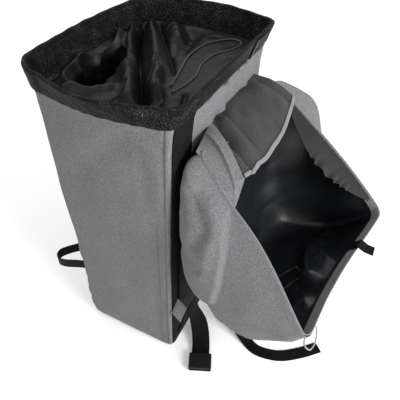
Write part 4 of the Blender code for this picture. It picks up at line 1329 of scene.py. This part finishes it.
@dataclass
class HipBelt:
    """Folded waist webbing on each side, ending on the ground in its buckle halves."""

    looks: Finishes
    harness: HarnessFace
    web: float = 0.038
    turn: float = 23.5
    end_x: float = 0.1535
    end_y: float = -0.170
    thick: float = 0.012

    def build_belt(self, name: str, side: float) -> None:
        """Doubled webbing with a rounded rib along each edge."""
        start_z = 0.150 * self.harness.form.height - 0.010
        lower = GAP + PANEL + 1.5 * WEBBING
        seat = self.harness.harness_y(start_z) - lower - 3 * GAP - WEBBING
        angle = math.radians(self.turn)
        ahead = np.array((side * math.cos(angle), -math.sin(angle), 0.0))
        end = np.array((side * self.end_x, self.end_y, self.thick / 2))
        stops = [(side * 0.094, seat, start_z), (side * 0.094, seat - 0.0006, start_z - 0.006),
                 (side * 0.096, seat - 0.009, start_z - 0.026), (side * 0.103, -0.140, 0.031),
                 (side * 0.117, -0.152, 0.014), end - ahead * 0.018, end]
        across = ([(1.0, 0.0, 0.0)] * 3 + [(0.6, side * 0.6, 0.0)]
                  + [(0.40, side * 0.916, 0.0)] * 3)
        item = Webbing(self.web, 2 * WEBBING).carry(f"waist_webbing_{name}", stops, across,
                                                    self.looks.webbing)
        fit(item, "webbing", f"hip_belt_{name}")

    def build(self) -> None:
        """Build both belts and dress the two buckle halves, whose CAD shapes stay."""
        for name, side in (("left", -1.0), ("right", 1.0)):
            self.build_belt(name, side)
        for node in ("buckle_socket", "buckle_plug"):
            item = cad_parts[node]
            item.data.materials.clear()
            item.data.materials.append(self.looks.plastic)
            log.info("dressed CAD node %s", node)


# The lid


LID_STEPS = {"back": 50, "back_right": 16, "right": 90, "front_right": 16, "front": 70,
             "front_left": 16, "left": 110, "back_left": 16}


@dataclass(frozen=True)
class LidForm:
    """Hooded lid as the CAD model has it: rings from its mouth down."""

    width: float = 0.332
    neck: float = 0.300
    reach: float = 0.325
    deep: float = 0.200
    tilt: float = 46.0
    start_y: float = -0.158
    start_z: float = 0.503
    corner: float = 0.018
    crown: float = 0.011
    twist: float = 0.018
    bulge: float = 0.016
    depths: tuple[tuple[float, float], ...] = (
        (0.00, 0.180), (0.10, 0.335), (0.30, 0.620), (0.50, 0.860), (0.65, 0.980),
        (0.78, 1.000), (0.90, 0.925), (1.00, 0.780))
    rings: tuple[tuple[float, float], ...] = (
        (0.00, 0.000), (0.22, 0.000), (0.45, 0.000), (0.68, 0.012), (0.84, 0.045),
        (0.95, 0.110), (1.00, 0.200), (1.03, 0.360))

    def place(self, across: Array, along: Array, down: Array) -> Array:
        """World places of points given across, along and down from the lid's mouth.

        The mouth's plane is tilted; its middle is crowned by a half sine of along, and twists
        in step with across and along.
        """
        across, along, down = np.broadcast_arrays(
            *(np.asarray(part, float) for part in (across, along, down)))
        tilt = math.radians(self.tilt)
        share = along / self.reach
        lean = across / (self.width / 2)
        right = ease(-0.040, 0.166, across) * ease(0.080, 0.325, along)
        left = ease(-0.080, -0.166, across) * ease(0.110, 0.305, along)
        near = ease(-0.095, -0.150, across) * ease(0.070, 0.000, along) * ease(0.030, 0.0, down)
        across = across + 0.018 * right - 0.019 * left + 0.012 * near
        far = along * (1.0 + 0.05 * lean) + 0.018 * right + 0.004 * left - 0.024 * near
        low = (down - self.crown * np.sin(np.pi * np.clip(share, 0.0, 1.0))
               - self.twist * lean * share)
        return np.stack([across, self.start_y - far * math.cos(tilt) + low * math.sin(tilt),
                         self.start_z - far * math.sin(tilt) - low * math.cos(tilt)], axis=-1)

    def depth(self, along: Array) -> Array:
        """Depth of the lid at a distance from its neck."""
        table = np.array(self.depths)
        fine = smooth_route(np.concatenate([table, np.zeros((len(table), 1))], axis=1), 0.01)
        return np.interp(along / self.reach, fine[:, 0], fine[:, 1]) * self.deep

    def half(self, along: Array) -> Array:
        """Half width of the mouth at a distance from its neck."""
        return (self.neck + (self.width - self.neck) * along / self.reach) / 2

    def flat(self, shares: Array, insets: Array, extra: "float | Array" = 0.0
             ) -> tuple[Array, Array]:
        """Across and along of each ring: straight sides that swell, and quarter-round corners.

        Args:
            shares: share of the depth of each ring.
            insets: share of the depth by which each has turned in.
            extra: more distance inwards.

        Returns:
            Two arrays, rings by columns.
        """
        shrink = (insets * self.deep + extra)[:, None]
        reach = self.reach - shrink
        radius = self.corner + shrink * 0.5
        bulge = self.bulge * np.sin(np.pi * np.clip(shares, 0.0, 1.0))[:, None]
        first = shrink + radius
        last = reach - radius
        parts = []

        def arc(sign: float, along: Array, begin: float, count: int) -> None:
            angle = np.radians(begin + 90.0 * np.arange(count) / count)[None, :]
            centre = sign * (self.half(along) - shrink - radius)
            parts.append((centre + radius * np.cos(angle), along + radius * np.sin(angle)))

        def side(sign: float, begin: Array, end: Array, count: int) -> None:
            share = (np.arange(count) / count)[None, :]
            along = begin + (end - begin) * share
            parts.append((sign * (self.half(along) - shrink + bulge * np.sin(np.pi * share)),
                          along))

        def cross(sign: float, along: Array, mid: Array, count: int) -> None:
            share = (np.arange(count) / count)[None, :]
            reach_out = self.half(mid) - shrink - radius
            parts.append((sign * (-reach_out + 2 * reach_out * share), along + 0.0 * share))

        steps = LID_STEPS
        cross(1.0, shrink, first, steps["back"])
        arc(1.0, first, -90.0, steps["back_right"])
        side(1.0, first, last, steps["right"])
        arc(1.0, last, 0.0, steps["front_right"])
        cross(-1.0, reach, last, steps["front"])
        arc(-1.0, last, 90.0, steps["front_left"])
        side(-1.0, last, first, steps["left"])
        arc(-1.0, first, 180.0, steps["back_left"])
        return (np.concatenate([part[0] for part in parts], axis=1),
                np.concatenate([part[1] for part in parts], axis=1))

    def index(self, stretch: str) -> int:
        """First column of a stretch."""
        names = list(LID_STEPS)
        return sum(LID_STEPS[name] for name in names[:names.index(stretch)])


@dataclass
class Lid:
    """Open lid: hood, neck panel, hem, gathered facings, tab, cord loop and strap."""

    looks: Finishes
    form: LidForm = field(default_factory=LidForm)
    body: BodyForm = field(default_factory=BodyForm)
    hem: float = 0.022
    seam: float = 0.256
    seam_z: float = 0.5185
    pleat: tuple[float, float] = (-0.052, -0.112)
    neck_reach: float = 0.080
    facing: float = 0.052
    tab_x: float = 0.050
    cord: float = 0.0024
    strap_x: float = -0.060

    def hood_grid(self) -> tuple[Array, Array, Array]:
        """Rings of the hood with its rounded floor, and the across and depth of each place."""
        table = np.array(self.form.rings)
        knots = np.concatenate([table, np.zeros((len(table), 1))], axis=1)
        fine = smooth_route(knots, 0.0118)
        across, along = self.form.flat(fine[:, 0], fine[:, 1])
        down = self.form.depth(along) * fine[:, :1]
        grid = self.form.place(across, along, down)
        centre = grid[-1].mean(axis=0)
        shares = np.array((0.12, 0.28, 0.45, 0.62, 0.78, 0.9, 0.985))[:, None, None]
        floor = grid[-1:] + (centre - grid[-1:]) * shares
        grid = np.concatenate([grid, floor])
        across = np.concatenate([across, across[-1:] * (1.0 - shares[..., 0])])
        down = np.concatenate([down, down[-1:] + 0.0 * shares[..., 0]])
        return grid, across, down

    def hood_folds(self, grid: Array, across: Array, down: Array) -> Array:
        """Outward height of the hood's cloth over its plain form.

        The left gusset carries a pouch that ends in a crisp dart, the front wall is dented
        between sharp creases, and slow dents cross the rest.

        Args:
            grid: plain form.
            across: distance of each place from the middle line.
            down: distance of each place from the mouth.

        Returns:
            One height for each place.
        """
        x, y, z = grid[..., 0], grid[..., 1], grid[..., 2]
        on_left = ease(-0.120, -0.150, x)
        tilt = math.radians(self.form.tilt)
        far = (self.form.start_y - y) * math.cos(tilt) + (self.form.start_z - z) * math.sin(tilt)
        on_front = (ease(0.275, 0.310, far) * ease(0.170, 0.150, np.abs(x))
                    * ease(0.020, 0.046, down))
        dart = np.interp(z, (0.250, 0.2635, 0.3145, 0.383, 0.4565, 0.500),
                         (-0.180, -0.208, -0.214, -0.2135, -0.204, -0.195))
        behind = y - dart
        pouch = 0.0100 * ease(-0.0015, 0.0045, behind) * ease(0.246, 0.262, z)
        pouch = pouch * (1.0 - 0.35 * ease(0.0, 0.05, behind))
        left = (
            Fold(((-0.165, 0.470), (-0.185, 0.420), (-0.172, 0.380)), 0.010, -0.0060),
            Fold(((-0.150, 0.360), (-0.185, 0.340)), 0.012, -0.0040),
            Fold(((-0.175, 0.500), (-0.195, 0.440), (-0.190, 0.330)), 0.008, 0.0030),
            Fold(((-0.235, 0.420), (-0.300, 0.300), (-0.330, 0.260)), 0.030, 0.0030),
        )
        front = (
            Fold(((0.062, 0.135), (0.045, 0.090), (0.005, 0.030)), 0.0075, -0.0095, Edge.SHARP),
            Fold(((0.062, 0.135), (0.110, 0.125), (0.150, 0.100)), 0.010, -0.0070, Edge.SHARP),
            Fold(((0.085, 0.112), (0.030, 0.098), (-0.030, 0.060)), 0.019, -0.0170),
            Fold(((0.020, 0.060), (-0.020, 0.025)), 0.012, -0.0100),
            Fold(((-0.075, 0.065), (-0.100, 0.020)), 0.013, -0.0100),
            Fold(((-0.060, 0.075), (-0.050, 0.020)), 0.009, 0.0075),
            Fold(((-0.030, 0.085), (-0.036, 0.030)), 0.007, -0.0055, Edge.SHARP),
            Fold(((-0.100, 0.060), (-0.090, 0.020)), 0.010, -0.0050),
            Fold(((0.100, 0.090), (0.060, 0.040)), 0.022, 0.0070),
        )
        wall = 0.0024 * swell(grid, 0.10, 71) + 0.0014 * crumple(grid, 0.06, 72)
        height = wall + (folded(left, y, z) + pouch) * on_left + folded(front, across, down) * on_front
        rim = ease(0.0, 0.16, np.linspace(0.0, 1.0, grid.shape[0]))[:, None]
        back = 1.0 - ease(-0.165, -0.145, y) * ease(0.10, 0.06, np.abs(x)) * 0.9
        return height * rim * back

    def hood_push(self, grid: Array) -> Array:
        """Vectors that fill out the two gussets beside the neck, nothing at the mouth's edge."""
        x, y, z = grid[..., 0], grid[..., 1], grid[..., 2]
        rows = np.linspace(0.0, 1.0, grid.shape[0])[:, None]
        left = (ease(-0.095, -0.150, x) * np.exp(-((y + 0.160) / 0.050) ** 2)
                * ease(0.200, 0.300, z) * ease(0.02, 0.22, rows))
        right = (ease(0.100, 0.150, x) * np.exp(-((y + 0.205) / 0.046) ** 2)
                 * ease(0.01, 0.12, rows) * ease(0.62, 0.24, rows))
        return (left[..., None] * np.array((-0.017, 0.011, 0.003))
                + right[..., None] * np.array((0.038, -0.020, 0.018)))

    def build_hood(self) -> bpy.types.Object:
        """Grey cloth outside and its slick coated back inside."""
        grid, across, down = self.hood_grid()
        normals = grid_normals(grid, True)
        away = grid - np.array((0.0, -0.26, 0.36))
        sign = 1.0 if (normals * away).sum() > 0.0 else -1.0
        folds = self.hood_folds(grid, across, down)
        grid = grid + normals * sign * folds[..., None] + self.hood_push(grid)
        piece = Piece("lid_hood_cloth", grid, wrap_columns=True, cap_last=True,
                      middle=(0.0, -0.26, 0.36))
        item = piece.build(self.looks.grey, CLOTH * 0.9, self.looks.coated)
        return fit(item, "grey_cloth", "lid_hood")

    def strip(self, first: int, last: int, downs: Array, extra: float) -> Array:
        """Grid on the inner wall between two columns, as far down as downs say."""
        across, along = self.form.flat(np.zeros(1), np.zeros(1), extra)
        columns = np.arange(first, last + 1) % across.shape[1]
        return self.form.place(across[:, columns], along[:, columns], downs[:, None])

    def build_hem(self) -> bpy.types.Object:
        """Folded hem inside the mouth, pulled in small puckers between its stitches."""
        first = self.form.index("right") + 8
        last = self.form.index("back_left") - 4
        downs = np.linspace(-0.0006, self.hem * 0.8, 16)
        grid = self.strip(first, last, downs, CLOTH + 0.0007)
        walked = np.concatenate([[0.0], np.cumsum(np.linalg.norm(
            np.diff(grid[0], axis=0), axis=-1))])[None, :]
        share = np.linspace(0.0, 1.0, len(downs))[:, None]
        pucker = 0.0007 * np.sin(2.0 * np.pi * walked / 0.013) * np.sin(np.pi * share)
        inward = unit(self.form.place(0.0, 0.16, 0.0) - grid)
        grid = grid + inward * (pucker + 0.0003)[..., None]
        piece = Piece("lid_hem_fold", grid, middle=(0.0, -0.272, 0.388))
        item = piece.build(self.looks.hem, CLOTH * 0.7, side=1.0)
        rows = []
        for down in (0.0040, 0.0150):
            line = self.strip(first, last, np.array([down]), CLOTH * 2.0 + 0.0011)[0]
            rows.append((line, unit(self.form.place(0.0, 0.16, 0.0) - line)))
        StitchRow().sew("lid_hem_stitches", rows, "grey_cloth", self.looks.thread)
        return fit(item, "grey_cloth", "lid_rim_hem")

    def build_edge_stitches(self) -> None:
        """Row of stitches outside the mouth's edge, as far from it as the hem is deep."""
        across, along = self.form.flat(np.zeros(1), np.zeros(1), -0.0007)
        down = np.full_like(across, self.hem * 0.55)
        line = self.form.place(across, along, down)[0]
        centre = self.form.place(0.0, 0.16, 0.0)
        away = unit(line - centre)
        StitchRow().sew("lid_edge_stitches", [(line, away)], "grey_cloth", self.looks.thread)

    def neck_grid(self, rows: int, columns: int) -> Array:
        """Panel from the yoke seam to its curved hem, gathered in pleats to the left."""
        seam_y = -float(self.body.values(np.array([self.seam_z]))[1][0]) - 2 * GAP - PANEL
        share = np.linspace(0.0, 1.0, rows)[:, None]
        low = self.pleat[0] + (self.pleat[1] - self.pleat[0]) * share
        high = self.seam / 2 + (self.form.neck * 0.46 - self.seam / 2) * share
        across = low + (high - low) * np.linspace(0.0, 1.0, columns)[None, :]
        side = across / high
        middle = 1.0 - side * side
        hem_y = seam_y - self.neck_reach - 0.015 * middle
        hem_z = self.seam_z - 0.031 - 0.018 * middle
        crown = 0.0095 * 4 * share * (1 - share)
        return np.stack([across + 0.0 * share, seam_y + (hem_y - seam_y) * share,
                         self.seam_z + (hem_z - self.seam_z) * share + crown], axis=-1)

    def build_neck(self) -> bpy.types.Object:
        """Neck panel in the darker grey of painted shade, with its pleats and dents, and its pale folded
        hem.
        """
        grid = self.neck_grid(60, 150)
        share = np.linspace(0.0, 1.0, 60)[:, None]
        x = grid[..., 0]
        folds = (
            Fold(((-0.050, 0.0), (-0.076, 0.5), (-0.086, 1.0)), 0.0055, -0.0100, Edge.SHARP),
            Fold(((-0.036, 0.0), (-0.058, 0.5), (-0.066, 0.9)), 0.008, 0.0070),
            Fold(((-0.026, 0.0), (-0.040, 0.8)), 0.0045, -0.0060, Edge.SHARP),
            Fold(((-0.020, 0.0), (-0.010, 0.9)), 0.014, 0.004),
            Fold(((0.030, 0.1), (0.045, 0.7)), 0.010, -0.004),
            Fold(((0.080, 0.0), (0.090, 1.0)), 0.014, 0.005),
            Fold(((0.112, 0.2), (0.118, 1.0)), 0.006, -0.005, Edge.SHARP),
        )
        held = ease(0.0, 0.22, share) * (0.55 + 0.45 * ease(1.0, 0.8, share))
        flat = share * 0.02 + 0.0 * x
        lines = tuple(Fold(tuple((a, b * 0.02) for a, b in fold.line), fold.width, fold.rise,
                           fold.edge) for fold in folds)
        grid[..., 2] += (folded(lines, x, flat) + 0.0014 * swell(grid, 0.05, 81)) * held
        piece = Piece("lid_neck_cloth", grid, facing=(0.0, -0.3, 1.0))
        # The darker grey here is painted shade for the neck panel.
        item = piece.build(self.looks.shade, CLOTH)
        edge = grid[-4:].copy()
        edge[..., 2] += 0.0006
        edge[-1, :, 1] -= 0.0012
        hem = Piece("lid_neck_hem", edge, facing=(0.0, -0.3, 1.0)).build(self.looks.hem, 0.0012,
                                                                        side=1.0)
        fit(hem, "grey_cloth")
        return fit(item, "grey_cloth", "lid_neck_panel")

    def build_flap(self) -> bpy.types.Object:
        """Folded corner of cloth between the neck's last pleat and the left rim."""
        inner = self.neck_grid(40, 8)[:, 0]
        tip = self.form.place(-0.1430, 0.0720, 0.0020)
        inner = smooth_route(np.concatenate([inner, tip[None]]), 0.0025)
        marks = np.linspace(0.0, 1.0, len(inner))
        along = -0.004 + 0.076 * marks
        outer = self.form.place(-self.form.half(along) + 0.0016, along, 0.0008)
        across = np.linspace(0.0, 1.0, 44)[None, :, None]
        grid = inner[:, None] + (outer - inner)[:, None] * across
        share = across[..., 0]
        lift = 0.0085 * np.sin(np.pi * share) * np.sin(np.pi * np.clip(marks * 1.15, 0.0, 1.0))[:, None]
        crease = np.exp(-1.6 * np.abs(share - 0.40 - 0.20 * marks[:, None]) / 0.07)
        grid[..., 2] += lift + 0.0085 * crease * np.sin(np.pi * marks)[:, None] - 0.0012
        piece = Piece("lid_neck_flap", grid, facing=(0.0, -0.3, 1.0))
        return fit(piece.build(self.looks.grey, CLOTH * 0.8), "grey_cloth")

    def build_facing(self, name: str, sign: float, hang: float) -> bpy.types.Object:
        """Gathered facing along one edge of the mouth; hang is how far it drops."""
        shift = CLOTH * 2 + 0.0005 + LINER / 2 * (0.25 + 0.75 * hang) + GAP
        share = np.linspace(0.0, 1.0, 30)[:, None]
        run = np.linspace(0.0, 10.0, 160)[None, :]
        along = self.form.reach * (0.13 + 0.74 * run / 10.0)
        width = self.facing * np.sin(np.pi * (run + 0.6) / 11.2)
        ruffle = 0.0034 * np.sin(2.0 * np.pi * run * 1.25 + 2.2 * np.sin(1.7 * run)) * share ** 4
        lip = ease(3.6, 4.6, run) * ease(8.6, 7.4, run)
        across = self.form.half(along) - shift - width * share * (1.0 - hang)
        down = 0.003 + width * share * (hang + 0.25 * (1.0 - hang)) + ruffle * lip
        grid = self.form.place(sign * across, along, down)
        material = self.looks.taffeta if hang < 0.5 else self.looks.coated
        piece = Piece(f"lid_facing_cloth_{name}", grid,
                      facing=(0.0, 0.0, 1.0) if hang < 0.5 else (-sign, 0.0, 0.0))
        item = piece.build(material, LINER * 0.6, side=0.0)
        return fit(item, "nylon_liner", f"lid_facing_{name}")

    def build_box_stitch(self) -> bpy.types.Object:
        """Pale rectangle of stitches on the lid's inner floor."""
        corners = np.array(((0.006, 0.112), (-0.026, 0.077), (-0.066, 0.108), (-0.034, 0.143),
                            (0.006, 0.112)))
        line = np.concatenate([np.linspace(a, b, 12) for a, b in zip(corners[:-1], corners[1:])])
        places = self.form.place(line[:, 0], self.form.reach - 0.0125 - 0.10 * np.maximum(
            line[:, 1] - 0.10, 0.0), line[:, 1])
        up = unit(self.form.place(0.0, 0.10, 0.1) - self.form.place(0.0, 0.3, 0.1))
        return StitchRow().sew("lid_box_stitches", [(places, np.broadcast_to(up, places.shape))],
                               "grey_cloth", self.looks.pale_thread)

    def build_tab(self) -> bpy.types.Object:
        """Webbing tab from the inner hem over the front edge."""
        form = self.form
        inner = form.reach - CLOTH * 2 - 0.0005 - 2 * GAP - WEBBING / 2 - 0.0008
        over = -WEBBING - 0.0036
        stops = [form.place(self.tab_x, inner, 0.020), form.place(self.tab_x, inner, 0.008),
                 form.place(self.tab_x, inner - 0.0004, -0.002),
                 form.place(self.tab_x, form.reach - 0.002, over),
                 form.place(self.tab_x, form.reach + 0.008, -0.0095),
                 form.place(self.tab_x, form.reach + 0.019, -0.0185)]
        edge = (form.place(self.tab_x + 0.0125, form.reach, 0.0)
                - form.place(self.tab_x - 0.0125, form.reach, 0.0))
        item = Webbing(0.025).carry("lid_tab_webbing", stops, [edge] * 6, self.looks.webbing, 0.002)
        return fit(item, "webbing", "lid_front_tab")

    def build_cord_loop(self) -> bpy.types.Object:
        """Thin pale cord loop standing off the lid's left front corner."""
        form = self.form
        half = form.width / 2
        out = form.reach + self.cord / 2 + GAP
        start = form.reach + self.cord * 0.2 + GAP
        stops = np.array([form.place(-half + 0.034, start, 0.004),
                          form.place(-half + 0.030, out + 0.010, 0.004),
                          form.place(-half + 0.018, out + 0.020, 0.006),
                          form.place(-half + 0.004, out + 0.020, 0.009),
                          form.place(-half + 0.004, out + 0.006, 0.012),
                          form.place(-half + 0.020, out + 0.0006, 0.014)])
        line = smooth_route(stops, 0.002)
        ahead = unit(np.gradient(line, axis=0))
        side = unit(np.cross(ahead, (0.0, 0.0, 1.0)))
        up = np.cross(side, ahead)
        angle = np.radians(np.arange(10) * 36.0)[None, :, None]
        tube = line[:, None] + self.cord / 2 * (side[:, None] * np.cos(angle)
                                                + up[:, None] * np.sin(angle))
        item = Piece("lid_loop_cord", tube, wrap_columns=True, cap_first=True,
                     cap_last=True).build(self.looks.pale_cord)
        return fit(item, "grey_cord", "lid_cord_loop")

    def build_strap(self) -> bpy.types.Object:
        """Webbing that drops from under the lid and lies curved on the ground."""
        low = WEBBING / 2 + GAP
        x = self.strap_x
        stops = [(x, -0.222, 0.1694), (x, -0.218, 0.120), (x, -0.212, 0.060),
                 (x - 0.004, -0.216, 0.022), (-0.074, -0.240, low + 0.003),
                 (-0.086, -0.268, low), (-0.086, -0.292, low), (-0.076, -0.325, low),
                 (-0.050, -0.361, low), (-0.018, -0.394, low)]
        across = [(1.0, 0.0, 0.0), (1.0, 0.0, 0.0), (1.0, 0.0, 0.0), (1.0, -0.2, 0.0),
                  (0.95, -0.45, 0.0), (0.98, -0.1, 0.0), (0.98, 0.1, 0.0), (0.90, 0.45, 0.0),
                  (0.78, 0.62, 0.0), (0.72, 0.69, 0.0)]
        item = Webbing(0.025).carry("lid_strap_webbing", stops, across, self.looks.webbing)
        return fit(item, "webbing", "lid_strap")

    def build(self) -> None:
        """Build and dress the lid."""
        self.build_hood()
        self.build_neck()
        self.build_flap()
        self.build_hem()
        self.build_edge_stitches()
        self.build_facing("right", 1.0, 0.0)
        self.build_facing("left", -1.0, 1.0)
        self.build_box_stitch()
        self.build_tab()
        self.build_cord_loop()
        self.build_strap()


@dataclass
class GearLoops:
    """Two webbing loops low on the front face, their width upright."""

    looks: Finishes
    form: BodyForm
    span: float = 0.060
    reach: float = 0.076
    height: float = 0.140

    def build_loop(self, name: str, side: float) -> None:
        """One loop, sewn to the face at both ends."""
        width, _, front, _, _, _, far_left, _, bulge = (
            float(value[0]) for value in self.form.values(np.array([self.height])))
        face = front + 2 * GAP
        outer = side * (self.form.width / 2 - self.form.corner * 1.4 - 0.004)
        inner = outer - side * self.span
        straight = width / 2 - far_left
        swells = [bulge * math.sin(math.pi * (straight - abs(place)) / (2 * straight))
                  for place in (outer, inner)]
        z = self.height
        stops = [(outer, face + swells[0], z), (outer + side * 0.009, face + self.reach * 0.30, z),
                 (outer + side * 0.019, face + self.reach * 0.66, z - 0.002),
                 (outer + side * 0.018, face + self.reach * 0.90, z - 0.003),
                 (outer + side * 0.004, face + self.reach * 0.99, z - 0.002),
                 (outer - side * 0.012, face + self.reach * 0.86, z),
                 (inner + side * 0.022, face + self.reach * 0.55, z),
                 (inner + side * 0.006, face + self.reach * 0.25, z),
                 (inner, face + swells[1], z)]
        item = Webbing(0.025).carry(f"gear_webbing_{name}", stops, [(0.0, 0.0, 1.0)] * 9,
                                    self.looks.webbing, 0.0025)
        fit(item, "webbing", f"gear_loop_{name}")

    def build(self) -> None:
        """Build both loops."""
        self.build_loop("left", -1.0)
        self.build_loop("right", 1.0)


@dataclass
class Studio:
    """Camera at the photo's angle, pale floor and soft light."""

    azimuth: float = -64.9
    elevation: float = 42.7
    roll: float = 2.2
    distance: float = 0.865
    aside: float = 0.074
    above: float = -0.031
    lens: float = 37.89
    aim_z: float = 0.30

    def build_camera(self) -> None:
        """Place the camera by its angles round the bag's middle, then slide it in its plane."""
        turn, lift, roll = (math.radians(a) for a in (self.azimuth, self.elevation, self.roll))
        back = np.array((math.sin(turn) * math.cos(lift), -math.cos(turn) * math.cos(lift),
                         math.sin(lift)))
        right = unit(np.cross(-back, (0.0, 0.0, 1.0)))
        up = np.cross(right, -back)
        across = right * math.cos(roll) + up * math.sin(roll)
        upward = -right * math.sin(roll) + up * math.cos(roll)
        place = (np.array((0.0, 0.0, self.aim_z)) + back * self.distance + across * self.aside
                 + upward * self.above)
        camera = bpy.data.objects.new("camera", bpy.data.cameras.new("camera"))
        camera.data.lens = self.lens
        camera.data.sensor_width = 36.0
        matrix = np.eye(4)
        matrix[:3, 0] = across
        matrix[:3, 1] = upward
        matrix[:3, 2] = back
        matrix[:3, 3] = place
        camera.matrix_world = Matrix(matrix.tolist())
        bpy.context.scene.collection.objects.link(camera)
        bpy.context.scene.camera = camera

    def build_floor(self) -> None:
        """Wide pale floor, faintly uneven."""
        mesh = bpy.data.meshes.new("floor")
        corner = 6.0
        mesh.from_pydata([(-corner, -corner, 0.0), (corner, -corner, 0.0), (corner, corner, 0.0),
                          (-corner, corner, 0.0)], [], [(0, 1, 2, 3)])
        wire = Wiring("studio_floor")
        tone = wire.ramp(wire.noise(1.5, 2.0), ((0.3, (0.93, 0.93, 0.93)), (0.7, (0.96, 0.96, 0.96))))
        wire.link(tone, wire.shader.inputs["Base Color"])
        wire.plain(Roughness=0.9, Emission_Color=(1.0, 1.0, 1.0, 1.0), Emission_Strength=0.16)
        mesh.materials.append(wire.material)
        floor = bpy.data.objects.new("floor", mesh)
        bpy.context.scene.collection.objects.link(floor)

    def lamp(self, name: str, place: Point, target: Point, size: float, power: float,
             colour: Colour = (1.0, 1.0, 1.0)) -> None:
        """Square soft box at a place, looking at a target."""
        light = bpy.data.lights.new(name, "AREA")
        light.size = size
        light.energy = power
        light.color = colour
        item = bpy.data.objects.new(name, light)
        back = unit(np.array(place) - np.array(target))
        right = unit(np.cross((0.0, 0.0, 1.0), back) + (1e-6, 0.0, 0.0))
        matrix = np.eye(4)
        matrix[:3, 0] = right
        matrix[:3, 1] = np.cross(back, right)
        matrix[:3, 2] = back
        matrix[:3, 3] = place
        item.matrix_world = Matrix(matrix.tolist())
        bpy.context.scene.collection.objects.link(item)

    def build_light(self) -> None:
        """Bright even surround, a large top box and a softer front box."""
        world = bpy.data.worlds.new("studio")
        world.use_nodes = True
        sky = world.node_tree.nodes["Background"]
        sky.inputs["Color"].default_value = (1.0, 1.0, 1.0, 1.0)
        sky.inputs["Strength"].default_value = 0.78
        bpy.context.scene.world = world
        self.lamp("front_box", (-0.55, -2.2, 0.95), (0.0, -0.1, 0.25), 1.1, 62.0)
        self.lamp("top_box", (0.5, 0.3, 2.2), (0.0, -0.1, 0.3), 1.2, 8.0)
        bpy.context.scene.view_settings.view_transform = "Standard"

    def build(self) -> None:
        """Build the studio."""
        self.build_camera()
        self.build_floor()
        self.build_light()


def main() -> None:
    """Build the studio and every sub-assembly in order."""
    logging.basicConfig(level=logging.INFO, format="%(name)s: %(message)s")
    Studio().build()
    looks = Finishes()
    body = BagBody(looks)
    Collar(looks, body.form).build()
    body.build()
    harness = HarnessFace(looks, body.form)
    harness.build()
    HipBelt(looks, harness).build()
    Lid(looks).build()
    GearLoops(looks, body.form).build()


if __name__ == "__main__":
    main()
